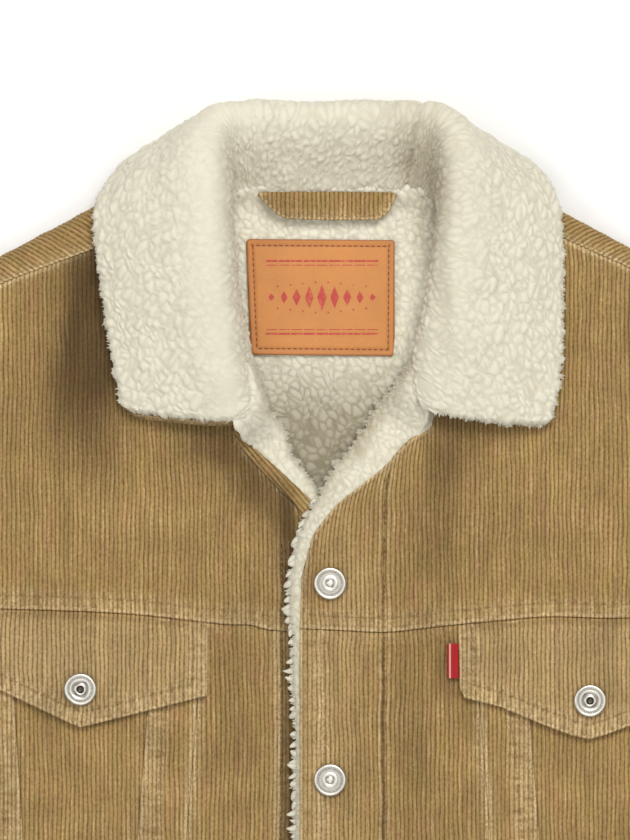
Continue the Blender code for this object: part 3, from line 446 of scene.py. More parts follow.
def declareCloth(poly):
    # works out the flat cut, a panel's own width and length or for a slanting strip those along itself, and
    # keeps nothing of it
    area = abs(signedArea(poly)) * mm * mm
    wide, long = sorted((poly.max(axis=0) - poly.min(axis=0)) * mm)
    if area < 0.32 * wide * long:
        long = math.hypot(wide, long)
        wide = area / long / 0.7


def openRim(points, normals, faces, depth):
    # turns the cloth's open edges down, so that they have a thickness
    edges = openEdges(faces, len(points))
    used = np.unique(edges)
    number = np.full(len(points), -1)
    number[used] = np.arange(len(used)) + len(points)
    down = points[used] - normals[used] * np.broadcast_to(depth, len(points))[used][:, None]
    a, b = edges[:, 0], edges[:, 1]
    wall = np.vstack([np.stack([b, a, number[a]], 1), np.stack([b, number[a], number[b]], 1)])
    return np.vstack([points, down]), np.vstack([faces, wall]), used


def surfaceNormals(place, flat, out):
    step = 0.05
    across = place(flat[:, 0] + step, flat[:, 1]) - place(flat[:, 0] - step, flat[:, 1])
    along = place(flat[:, 0], flat[:, 1] + step) - place(flat[:, 0], flat[:, 1] - step)
    return unit(np.cross(across, along) * out)


openWales = (0.0, 0.22, 0.5, 0.78)  # the columns of a wale, as shares of its width
hiddenWales = (0.0, 0.33, 0.67)  # fewer where the cloth isn't seen close to
cloth = {
    "rim": 2.4,  # thickness at an open edge
    "edgeSteps": (0.05, 0.5, 1.1, 1.8, 2.6, 4.2, 6.2, 7.2, 8.2),  # rows beside each edge
    "openRows": (3.0, 12.0),  # distance between rows in the framed part and below it
    "hiddenRows": (9.0, 14.0),
    "sways": [(0.75, 34.0, 0.55), (0.36, 8.0, 0.6)],  # how far wales wander, over what length, how drawn out
    "swell": 0.22,
}
thread = {
    "long": 1.9,
    "pitch": 3.0,  # from one stitch to the next
    "radius": 0.28,
    "sink": 0.35,
    "trough": 0.55,
    "rings": [(-0.5, 0.4, -1.5), (-0.28, 1.0, 0.0), (0.28, 1.0, 0.0), (0.5, 0.4, -1.5)],  # along, size, lift
}
seamKinds = {
    # roll: radius of the turned edge. lift: how high the edge stands. rows: stitch lines from the edge.
    # pucker and pitch: height of the ripples beside the stitches and how far they are apart
    "folded": {"roll": 1.5, "lift": 1.3, "reach": 10.0, "rows": (1.7, 7.2), "pucker": 0.42, "pitch": 6.2},
    "under": {"roll": 0.5, "lift": -0.7, "reach": 5.0, "rows": (), "pucker": 0.2, "pitch": 6.0},
    "plain": {"roll": 0.9, "lift": 0.0, "reach": 4.0, "rows": (), "pucker": 0.2, "pitch": 7.0},
    "turned": {"roll": 0.3, "lift": 0.0, "reach": 3.0, "rows": (), "pucker": 0.0, "pitch": 7.0},
    "stitched": {"roll": 1.0, "lift": 0.3, "reach": 6.0, "rows": (1.8,), "pucker": 0.35, "pitch": 5.4},
    "strip": {"roll": 1.3, "lift": 0.9, "reach": 9.0, "rows": (1.6, 9.0), "pucker": 0.7, "pitch": 5.6},
    "flap": {"roll": 1.5, "lift": 0.8, "reach": 8.0, "rows": (1.9, 7.6), "pucker": 0.6, "pitch": 5.2},
    "piped": {"roll": 1.2, "lift": 0.5, "reach": 2.6, "rows": (2.0,), "pucker": 0.2, "pitch": 5.0},
    "placket": {"roll": 1.2, "lift": 0.8, "reach": 12.0, "rows": (2.0, 12.6), "pucker": 0.3, "pitch": 5.6},
    "crest": {"roll": 0.0, "lift": 0.8, "reach": 3.2, "rows": (), "pucker": 0.12, "pitch": 7.0, "worn": 0.5},
    "topstitch": {"roll": 0.0, "lift": 0.0, "reach": 1.0, "rows": (0.0,), "pucker": 0.42, "pitch": 5.8},
}


def seamRelief(flat, seams):
    # height of the turned edges, stitch troughs and puckers, how worn they are, and the painted shade in their
    # troughs and hollows
    height = np.zeros(len(flat))
    wearAndPaintedLight = np.zeros(len(flat))
    shade = np.zeros(len(flat))
    for number, (line, kindName) in enumerate(seams):
        kind = seamKinds[kindName]
        gap, along = nearLine(flat, line)
        roll = kind["roll"]
        inRoll = np.clip(roll - gap, 0.0, roll)
        height -= roll - np.sqrt(np.maximum(roll**2 - inRoll**2, 0.0))
        height += kind["lift"] * (1.0 - smooth(gap / kind["reach"]))
        if kindName not in ("under", "turned", "topstitch"):
            wearAndPaintedLight += kind.get("worn", 1.5) * bell(gap - 0.9)
        near = gap < 16.0
        if not near.any() or not kind["pucker"]:
            continue
        wave = np.zeros(len(flat))
        spot = np.stack([along[near], gap[near] * 0.4], 1)
        drift = 2.6 * rumple(spot, 11.0, number + 5)
        ripple = np.sin(2 * math.pi * along[near] / kind["pitch"] + drift)
        wave[near] = 0.6 * ripple + 0.6 * rumple(spot, 3.2, number + 3)
        last = kind["rows"][-1] if kind["rows"] else 1.5
        window = smooth(gap / 1.2) * (1.0 - smooth((gap - last - 0.5) / 5.0))
        height += kind["pucker"] * wave * window
        rubbed = min(1.0, 1.7 * kind["pucker"])
        wearAndPaintedLight += (0.5 + 0.42 * np.clip(wave, -0.6, 1.0)) * window * rubbed
        # painted shade in the puckers' hollows
        shade += 0.3 * np.clip(-wave, 0.0, 1.0) * window * rubbed
        for row in kind["rows"]:
            inRow = bell((gap - row) / 0.85)
            height -= thread["trough"] * inRow
            # painted shade along the trough, darkest at each stitch hole
            holes = 0.75 - 0.45 * np.cos(2 * math.pi * along / thread["pitch"])
            shade += (1.7 if kindName == "topstitch" else 0.5) * inRow * holes
    return height, np.clip(wearAndPaintedLight, 0.0, 1.0), shade


def stitches(line, place, out, sink=thread["sink"], long=thread["long"], pitch=thread["pitch"],
             radius=thread["radius"]):
    # separate stitches of thread along a line on the cloth
    line = np.array(line, float)
    run = lineLength(line)
    middle = np.arange(pitch, run[-1] - pitch / 2, pitch)
    at, ahead = pointsAt(line, run, middle), pointsAt(line, run, middle + 0.5)
    centre = place(at[:, 0], at[:, 1])
    shows = centre[:, 2] > 1.0  # none under the back, which lies flat on its surface
    at, ahead, centre = at[shows], ahead[shows], centre[shows]
    if not len(centre):
        return np.zeros((0, 3)), np.zeros((0, 3), np.int32)
    up = surfaceNormals(place, at, out)
    way = unit(place(ahead[:, 0], ahead[:, 1]) - centre)
    over = np.cross(way, up)
    points = []
    for share, size, lift in thread["rings"]:
        for k in range(4):
            angle = math.pi / 2 * (k + 0.5)
            side = math.cos(angle) * radius * size
            high = math.sin(angle) * radius * size + lift * radius - sink + radius
            points.append(centre + way * (share * long) + over * side + up * high)
    return np.stack(points, 1).reshape(-1, 3), repeated(ringFaces(4, 4), 16, len(centre))


def pulledAlong(flat, line, amount, reach):
    line = np.array(line, float)
    gap, along = nearLine(flat, line)
    run = lineLength(line)
    way = unit(pointsAt(line, run, along + 1.0) - pointsAt(line, run, along - 1.0))
    much = amount * np.exp(-gap / reach) * smooth(along / 14.0) * smooth((run[-1] - along) / 14.0)
    return way * much[:, None]


threads = {"points": [], "faces": [], "total": 0}


def sewLine(line, place, out, **settings):
    points, faces = stitches(line, place, out, **settings)
    threads["points"].append(points)
    threads["faces"].append(faces + threads["total"])
    threads["total"] += len(points)


def clothPanel(name, outline, place, out=1, pale=0.0, grain=0.0, phases=openWales, rows=None, seams=(),
               rim=cloth["rim"], restsOn=(), depth=1.0, edgeSteps=cloth["edgeSteps"], padded=False, pull=None):
    # a cut piece of corduroy, laid along its surface with its wales, turned edges and stitch lines
    outline = np.array([tuple(p) for p in outline], float)
    if signedArea(outline) < 0:
        outline = outline[::-1]
    width = garment["waleWidth"]
    poly = turned(outline, -grain)
    low, high = poly[:, 0].min() + 0.05, poly[:, 0].max() - 0.05
    wales = np.arange(math.floor(low / width), math.ceil(high / width) + 1)
    columns = np.sort((wales[:, None] * width + np.array(phases)[None, :] * width).ravel())
    columns = columns[(columns > low + 0.15) & (columns < high - 0.15)]
    columns = np.concatenate([[low], columns, [high]])
    if rows is None:
        near, far = cloth["openRows"] if phases == openWales else cloth["hiddenRows"]
        rows = np.concatenate([np.arange(-700.0, garment["framedLow"], far),
                               np.arange(garment["framedLow"], 90.0, near)])
        if grain:
            rows = np.arange(poly[:, 1].min(), poly[:, 1].max(), near * 1.5)
    cut, faces = ladder(poly, columns, rows, edgeSteps)
    phase = np.abs(np.sin(math.pi * cut[:, 0] / width))
    straight = turned(cut, grain)
    toEdge = nearLine(straight, outline, closed=True)[0]
    height, wearAndPaintedLight, shade = seamRelief(straight, seams)
    # the groove colour, with the painted shade from the seams added
    groove = np.clip(1.0 - phase**0.45 + shade, 0.0, 1.0)
    height -= garment["waleDepth"] * depth * (1.0 - phase**0.6) * (1.0 + 0.8 * np.exp(-toEdge / 1.3))
    wearAndPaintedLight = wearAndPaintedLight * (0.25 + 0.75 * phase**1.5)
    # the wales wander a little, but not where the piece is sewn down
    free = smooth((toEdge - 2.0) / 9.0)
    seed = sum(map(ord, name)) % 50
    sway = np.zeros(len(cut))
    for number, (amount, size, drawn) in enumerate(cloth["sways"]):
        sway += amount * rumple(cut * (1.0, drawn), size, seed + number)
    flat = turned(cut + np.stack([sway * free, np.zeros(len(cut))], axis=1), grain)
    if pull is not None:  # a turned edge pulls the wales along with it
        flat = flat + pulledAlong(straight, *pull)
    height += cloth["swell"] * rumple(straight, 11.0, seed + 2) * free
    normals = surfaceNormals(place, flat, out)
    points = place(flat[:, 0], flat[:, 1]) + normals * height[:, None]
    paintedShade = np.zeros(len(points))
    if out < 0:
        points[:, 2] = np.maximum(points[:, 2], 0.0)
        faces = faces[:, ::-1]
    else:
        # painted shade from the listed shades, and painted light where they are below 0
        paintedShade = ridges(points[:, 0], points[:, 1], paintedShades)
    paintedShade = np.clip(paintedShade, -0.1, 0.66) - pale
    solid, faces, used = openRim(points, normals, faces, rim(flat) if callable(rim) else rim)
    # the cut edges' sides are painted part way to the groove colour as shade
    values = {"groove": np.append(groove, np.full(len(used), 0.45)),
              "wearAndPaintedLight": np.append(wearAndPaintedLight, np.zeros(len(used))),
              "paintedShade": np.append(paintedShade, paintedShade[used])}
    panel = makeMesh(name + "_cloth", solid, faces, corduroy, values, np.vstack([cut, cut[used] + (0.3, 1.7)]))
    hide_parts(name)
    if padded:
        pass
    else:
        declareCloth(poly)
    for line, kindName in seams:
        for row in seamKinds[kindName]["rows"]:
            for way in (row, -row):
                moved = beside(line, way)
                kept = inside(moved, outline)
                if kept.sum() > 0.6 * len(moved):
                    sewLine(moved[kept], place, out)


print("laying out the pattern")
neckPoint = {-1: (85.0, 17.0), 1: (85.0, 8.6)}
shoulderTip = {-1: (235.0, -62.0), 1: (235.0, -70.0)}
underarm = (276.0, -290.0)
neckSeam = [(66.0, -1.2), (40.0, -0.6), (0.0, -0.5)]
backYokeSeam, backYokeAtArmhole = -165.0, -161.0
backSeam = [(104.0, -163.2), (62.0, waistSeam)]
sideTable = [(-290.0, 274.2), (-400.0, 262.0), (-500.0, 252.0), (waistSeam, 247.0), (hem, 246.0)]
armholeTop = {-1: (228.6, -74.1), 1: (228.8, -80.5)}
armholeRest = [(219.5, -100.0), (213.5, -140.0), (214.0, -185.0), (223.5, -225.0), (242.0, -260.0), underarm]
shoulderStrip = {  # the back yoke's width on the front: distance from the neck point, width
    -1: [(0.0, 27.7), (46.0, 21.6), (103.0, 14.0), (169.6, 9.2)],
    1: [(0.0, 14.5), (37.0, 12.8), (75.0, 10.4), (169.6, 9.2)],
}
overlap = {"edge": 26.0, "end": 62.0, "rise": 8.6, "underCorner": (24.0, -172.0)}
chestSeam = {
    -1: [(-176.0, -215.3), (-110.5, -217.9), (-61.6, -223.2), (-46.0, -223.8), (-30.6, -226.9)],
    1: [(152.0, -220.0), (111.0, -219.4), (80.0, -221.8), (48.0, -225.0), (24.0, -227.2), (0.0, -226.2)],
}
chestAtArmhole = -214.0
chestAtEdge = {-1: (24.0, -228.5), 1: (-20.1, -225.4)}
neckEdge = {
    -1: [(-68.0, -22.0), (-66.0, -40.0), (-64.0, -60.0), (-61.5, -80.0), (-58.0, -100.0), (-55.0, -117.0)],
    1: [(71.0, -20.0), (67.0, -35.0), (63.0, -52.0), (58.0, -74.0), (54.0, -92.0), (51.0, -108.0)],
}
underEdge = [(-52.8, -127.2), (-44.7, -137.3), (-31.5, -151.0), (-21.6, -161.6), (-17.6, -168.5)]
rollEdge = [(-53.2, -121.0), (-49.7, -126.0), (-40.0, -134.4), (-31.6, -142.0), (-25.7, -147.4),
            (-18.6, -154.2), (-14.6, -158.4)]
overEdge = [(47.4, -120.9), (35.4, -129.3), (23.5, -141.2), (11.5, -150.8), (-0.4, -160.2), (-7.5, -168.5),
            (-13.5, -178.2), (-17.0, -190.2), (-19.5, -202.3), (-20.1, -225.4)]
overEdge, underEdge = smoothLine(overEdge, 4), smoothLine(underEdge, 4)
pileEdgeUnder = [(-39.0, -98.5), (-35.6, -111.8), (-28.5, -120.6), (-23.7, -135.7), (-17.0, -143.6),
                 (-10.6, -153.0)]
pileEdgeOver = [(26.5, -98.5), (21.0, -106.6), (13.8, -119.6), (5.5, -131.6), (-2.9, -141.2), (-7.5, -150.0),
                (-14.8, -162.8), (-18.5, -170.0), (-22.1, -180.4), (-23.6, -190.2), (-25.5, -200.7),
                (-26.0, -217.6), (-24.6, -230.7), (-24.3, -254.6), (-23.2, -273.7), (-23.0, -340.0),
                (-24.0, -420.0), (-23.2, -500.0), (-23.6, waistSeam)]
slantedSeams = {  # x at the chest seam, x at the waist
    "inner": (69.5, 100.0),
    "innerStrip": (95.0, 125.0),
    "outerStrip": (172.0, 148.0),
    "outer": (199.0, 173.0),
}
flapOutline = {
    -1: [(-67.9, -224.0), (-198.0, -217.0), (-199.0, -246.5), (-176.0, -257.6), (-138.4, -275.3),
         (-134.2, -276.8), (-130.0, -275.9), (-100.0, -268.4), (-68.2, -260.4)],
    1: [(202.0, -221.0), (62.0, -224.0), (62.9, -240.0), (63.2, -257.0), (65.6, -261.6), (84.0, -266.2),
        (105.0, -275.0), (121.5, -281.2), (130.7, -283.1), (139.4, -280.6), (203.0, -257.0)],
}
bodyFolds = [  # soft ridges: x, y, turn from the length in degrees, half length, half width, height
    (-158.0, -120.0, -8.0, 90.0, 26.0, 4.5),
    (-112.0, -330.0, 6.0, 120.0, 24.0, 2.5),
    (-196.0, -420.0, 10.0, 130.0, 22.0, 4.0),
    (160.0, -130.0, 12.0, 85.0, 26.0, 4.0),
    (92.0, -160.0, -14.0, 60.0, 16.0, 3.0),
    (176.0, -400.0, -8.0, 130.0, 24.0, 4.0),
    (108.0, -480.0, 4.0, 90.0, 20.0, 2.5),
]
creases = [  # the small ones, in the same columns
    (-112.0, -96.0, -3.0, 74.0, 13.0, 3.0),
    (-139.0, -92.0, -6.0, 84.0, 11.0, -3.4),
    (-64.0, -146.0, 24.0, 44.0, 12.0, 2.0),
    (-38.0, -184.0, 16.0, 60.0, 12.0, -2.6),
    (70.0, -150.0, 14.0, 50.0, 12.0, 1.6),
    (58.0, -172.0, 24.0, 46.0, 7.0, -1.6),
    (46.0, -196.0, 30.0, 30.0, 4.0, 0.8),
    (84.0, -196.0, -34.0, 26.0, 6.0, -1.0),
    (126.0, -186.0, -20.0, 32.0, 7.0, 1.1),
    (-66.0, -176.0, -30.0, 38.0, 6.0, -1.1),
    (-92.0, -150.0, -16.0, 44.0, 9.0, 1.2),
    (-128.0, -186.0, 28.0, 30.0, 6.0, -1.0),
    (-44.0, -200.0, -52.0, 26.0, 5.0, 0.8),
    (-150.0, -60.0, 62.0, 40.0, 8.0, -1.3),
    (150.0, -66.0, -60.0, 44.0, 8.0, -1.3),
    (-52.0, -292.0, 12.0, 50.0, 8.0, -1.1),
    (52.0, -300.0, -9.0, 54.0, 9.0, -1.0),
    (8.0, -262.0, 70.0, 18.0, 6.0, 0.7),
    (-118.0, -306.0, 76.0, 34.0, 7.0, 1.0),
    (118.0, -312.0, -72.0, 38.0, 7.0, 1.1),
    (-60.0, -430.0, -14.0, 70.0, 10.0, -1.4),
    (66.0, -452.0, 10.0, 84.0, 11.0, -1.4),
    (-150.0, -520.0, 18.0, 66.0, 12.0, 1.6),
    (140.0, -548.0, -22.0, 44.0, 9.0, -1.3),
    (-206.0, -330.0, 44.0, 50.0, 9.0, -1.8),
    (208.0, -318.0, -40.0, 56.0, 9.0, -1.8),
    (10.0, -500.0, 8.0, 60.0, 9.0, 0.9),
]
paintedShades = [  # painted shade where the cloth lies in shadow: beside the collar's wings and the neck edge, under the flaps and beside the front edge's overlap; the ones below 0 are painted light; in the same columns
    (-125.0, -40.0, -7.0, 74.0, 17.0, 0.62),
    (-130.0, -98.0, -5.0, 70.0, 20.0, 0.6),
    (-44.0, -150.0, 42.0, 50.0, 11.0, 0.5),
    (-66.0, -130.0, 80.0, 34.0, 9.0, 0.32),
    (54.0, -146.0, 0.0, 80.0, 10.0, 0.32),
    (70.0, -130.0, -50.0, 34.0, 12.0, 0.18),
    (37.0, -262.0, 2.0, 120.0, 9.0, 0.17),
    (55.0, -246.0, 0.0, 40.0, 6.0, 0.26),
    (72.0, -272.0, 20.0, 30.0, 8.0, 0.14),
    (112.0, -288.0, 60.0, 40.0, 7.0, 0.16),
    (-100.0, -284.0, 60.0, 44.0, 7.0, 0.12),
    (-57.0, -262.0, 4.0, 60.0, 6.0, 0.14),
    (-26.2, -300.0, 0.0, 260.0, 3.6, 0.55),
    (-22.0, -190.0, 12.0, 44.0, 9.0, 0.22),
    (150.0, -90.0, -12.0, 60.0, 14.0, 0.1),
    (-170.0, -120.0, 6.0, 60.0, 14.0, 0.06),
    (-2.0, -270.0, 0.0, 160.0, 14.0, -0.08),
    (-150.0, -240.0, 80.0, 60.0, 12.0, -0.06),
    (4.0, -205.0, 20.0, 60.0, 12.0, -0.06),
]
backCreases = [  # hollows in the back, which lies on its outside
    (-120.0, -90.0, 40.0, 60.0, 9.0, -1.6),
    (96.0, -120.0, -34.0, 70.0, 10.0, -1.8),
    (-30.0, -260.0, 8.0, 90.0, 12.0, -1.5),
    (150.0, -300.0, 52.0, 60.0, 9.0, -2.0),
    (-170.0, -340.0, -40.0, 74.0, 10.0, -1.9),
    (60.0, -430.0, -12.0, 80.0, 11.0, -1.4),
    (-120.0, -500.0, 20.0, 60.0, 9.0, -1.5),
    (190.0, -500.0, -30.0, 46.0, 8.0, -1.6),
]

armholeCurve = {side: spline([shoulderTip[side], armholeTop[side]] + armholeRest, 8) for side in (-1, 1)}


def armholeX(side, y):
    line = armholeCurve[side][::-1]
    return np.interp(y, line[:, 1], line[:, 0])


def armhole(side, yFrom, yTo):
    low, high = sorted((yFrom, yTo))
    line = [(x, y) for x, y in armholeCurve[side] if low + 1 < y < high - 1]
    if yFrom < yTo:
        line.reverse()
    line = [(armholeX(side, yFrom), yFrom)] + line + [(armholeX(side, yTo), yTo)]
    return [(side * x, y) for x, y in line]


def sideX(y):
    return lookup(sideTable, y)


def sideUnrolled(side, y):
    return side * (sideX(y) - bend + bend * math.pi / 2), y


def sideSeam(side):
    return [sideUnrolled(side, y) for y, _ in sideTable[:4]]


def unroll(point):
    x, y = point
    start = sideX(y) - bend
    if abs(x) <= start:
        return x, y
    angle = math.asin(min(1.0, (abs(x) - start) / bend))
    return math.copysign(start + bend * angle, x), y


def sideFold(x, y, radius):
    start = sideX(y) - bend
    past = np.abs(x) - start
    angle = np.clip(past / bend, 0.0, math.pi / 2)
    folded = (y <= underarm[1] + 30) & (past > 0)
    return (np.where(folded, np.sign(x) * (start + radius * np.sin(angle)), x),
            np.where(folded, radius * np.cos(angle), radius))


def ridges(x, y, table):
    total = 0.0
    for foldX, foldY, turn, halfLong, halfWide, height in table:
        c, s = math.cos(math.radians(turn)), math.sin(math.radians(turn))
        along = (y - foldY) * c - (x - foldX) * s
        across = (x - foldX) * c + (y - foldY) * s
        # no crease is quite straight
        across = across + 0.10 * halfWide * np.sin(along / halfLong * 4.0 + foldX)
        total = total + height * (1.0 - smooth(np.abs(along) / halfLong)) / (1.0 + (across / halfWide) ** 4)
    return total


def softFolds(x, y):
    side = np.where(x > 0, 1, -1)
    armholeAt = np.where(side > 0, armholeX(1, y), armholeX(-1, y))
    fromFront = smooth((np.abs(x) - 34.0) / 24.0)
    fromSide = smooth((sideX(y) - bend - np.abs(x)) / 26.0)
    fromArmhole = smooth((armholeAt - np.abs(x)) / 22.0)
    fromWaist = smooth((y - waistSeam) / 40.0)
    fromShoulder = smooth((-34.0 - 0.25 * np.abs(x) - y) / 30.0)
    broad = ridges(x, y, bodyFolds) * fromFront * fromShoulder
    return (broad + ridges(x, y, creases)) * fromSide * fromArmhole * fromWaist


def frontPlace(over, step=0.0):
    def place(x, y):
        lift = softFolds(x, y)
        if over:
            pastEdge = (x - overlap["edge"]) / (overlap["end"] - overlap["edge"])
            lift = lift + overlap["rise"] * (1.0 - smooth(pastEdge))
        outX, outH = sideFold(x, y, bend)
        return np.stack([outX, y, bend + outH + lift + step], axis=1)
    return place


def underYoke(side, step, sink, reach):
    wall = frontPlace(side == 1, step)

    def place(x, y):
        points = wall(x, y)
        points[:, 2] -= sink * smooth((y - lookup(chestLine(side), x) + reach + 0.4) / reach)
        return points
    return place


def backPlace(x, y):
    outX, outH = sideFold(x, y, bend)
    flatPart = smooth((sideX(y) - bend - np.abs(x)) / 26.0) * smooth((y - waistSeam) / 30.0)
    return np.stack([outX, y, bend - outH - ridges(x, y, backCreases) * flatPart], axis=1)


def seamX(name, y):
    top, foot = slantedSeams[name]
    return top + (foot - top) * (y - chestAtArmhole) / (waistSeam - chestAtArmhole)


def chestLine(side):
    start = (side * float(armholeX(side, chestAtArmhole)), chestAtArmhole)
    return smoothLine([start] + chestSeam[side] + [chestAtEdge[side]], 5)


def onChest(side, x):
    return x, float(lookup(chestLine(side), x))


def chestBetween(side, xFrom, xTo):
    low, high = sorted((xFrom, xTo))
    line = sorted(p for p in chestLine(side) if low + 1 < p[0] < high - 1)
    if xFrom > xTo:
        line.reverse()
    return [onChest(side, xFrom)] + line + [onChest(side, xTo)]


def seamOnChest(name, side):
    x = side * seamX(name, chestAtArmhole)
    return side * float(seamX(name, lookup(chestLine(side), x)))


def shoulderAxes(side):
    start = np.array((side * neckPoint[side][0], neckPoint[side][1]))
    end = np.array((side * shoulderTip[side][0], shoulderTip[side][1]))
    long = math.hypot(*(end - start))
    along = (end - start) / long
    return start, along, np.array((-side * along[1], side * along[0])), long


def stripSeam(side):
    start, along, out, long = shoulderAxes(side)
    rows = [(u, w) for u, w in shoulderStrip[side] if u < long] + [(long, shoulderStrip[side][-1][1])]
    return [tuple(start + along * u - out * w) for u, w in rows]


def stripEdge(side):
    # the same seam on the flat cloth of the yoke, past its fold over the shoulder
    start, along, out, long = shoulderAxes(side)
    overFold = (math.pi - 2.0) * bend
    return [tuple(start + along * min(u, long) + out * (overFold + w)) for u, w in shoulderStrip[side]]


def yokePlace(x, y):
    # comes round both shoulders from the back to the front
    points = np.stack([x, y, np.zeros_like(x)], axis=1)
    sink = ridges(x, y, backCreases) * smooth((y + 160.0) / 20.0)
    for side in (-1, 1):
        start, along, out, _ = shoulderAxes(side)
        own = (x > 0) == (side > 0)
        flat = np.stack([x, y], axis=1) - start
        u, v = flat @ along, flat @ out
        turn = own & (v > -bend) & (u >= -20.0)
        angle = np.clip((v + bend) / bend, 0.0, math.pi)
        past = np.maximum(0.0, v + bend - math.pi * bend)
        place = start + along * u[:, None] + out * (-bend + bend * np.sin(angle) - past)[:, None]
        points[turn, :2] = place[turn]
        points[turn, 2] = (bend - bend * np.cos(angle))[turn]
        sink = sink * np.where(own, 1.0 - smooth((v + bend + 24.0) / 24.0), 1.0)
    points[:, 2] -= sink
    return points


print("cutting the back")
yokeOutline = [(0.0, backYokeSeam)]
for side in (1, -1):
    start, along, out, long = shoulderAxes(side)
    half = armhole(side, backYokeAtArmhole, armholeTop[side][1])
    half.append(tuple(start + along * long - out * bend))
    half += stripEdge(side)[::-1]
    half.append(tuple(start - out * bend))
    half += [(side * x, y) for x, y in neckSeam[:-1]]
    yokeOutline += half + neckSeam[-1:] if side == 1 else half[::-1]
backYokeLine = [(-armholeX(-1, backYokeAtArmhole), backYokeAtArmhole), (0.0, backYokeSeam),
                (armholeX(1, backYokeAtArmhole), backYokeAtArmhole)]
clothPanel("back_yoke", yokeOutline, yokePlace, out=-1, phases=hiddenWales,
           seams=[(backYokeLine, "folded")] + [(stripEdge(side), "stitched") for side in (-1, 1)],
           restsOn=("front_yoke_left", "front_yoke_right"),
           rows=np.concatenate([np.arange(-180.0, -75.0, 15.0), np.arange(-75.0, 140.0, 5.0)]))

foot = backSeam[1]
mirrored = [(-x, y) for x, y in backSeam]
centreOutline = [(0.0, backYokeSeam)] + backSeam + mirrored[::-1]
centreSeams = [(backYokeLine, "under"), (mirrored, "stitched"), (backSeam, "stitched")]
backRows = np.arange(-700.0, 90.0, 24.0)
clothPanel("back_centre", centreOutline, backPlace, out=-1, seams=centreSeams, phases=hiddenWales,
           rows=backRows, restsOn=("back_yoke",))
for side in (-1, 1):
    outline = [(side * backSeam[0][0], backSeam[0][1])]
    outline += [unroll(p) for p in armhole(side, backYokeAtArmhole, underarm[1])]
    outline += sideSeam(side)[1:] + [(side * foot[0], foot[1])]
    inner = backSeam if side == 1 else mirrored
    seams = [(backYokeLine, "under"), (inner, "plain"), (sideSeam(side), "plain")]
    clothPanel("back_side_" + sideNames[side], outline, backPlace, out=-1, seams=seams, phases=hiddenWales,
               rows=backRows, restsOn=("back_centre",))


def rimAt(foot, thick):
    # a rim that is thick at the foot, where the cloth is turned up, and thin elsewhere
    return lambda flat: np.where(flat[:, 1] < foot + 1.5, thick, cloth["rim"])


waistLine = [(-260.0, waistSeam), (260.0, waistSeam)]
hemLine = [(-260.0, hem), (260.0, hem)]
band = [sideUnrolled(1, waistSeam), sideUnrolled(1, hem), sideUnrolled(-1, hem), sideUnrolled(-1, waistSeam)]
bandCloth = {"grain": math.pi / 2, "phases": hiddenWales, "rim": rimAt(hem, garment["hemRim"])}
clothPanel("waistband_back", band, backPlace, out=-1, seams=[(waistLine, "folded"), (hemLine, "stitched")],
           restsOn=("back_centre",), **bandCloth)

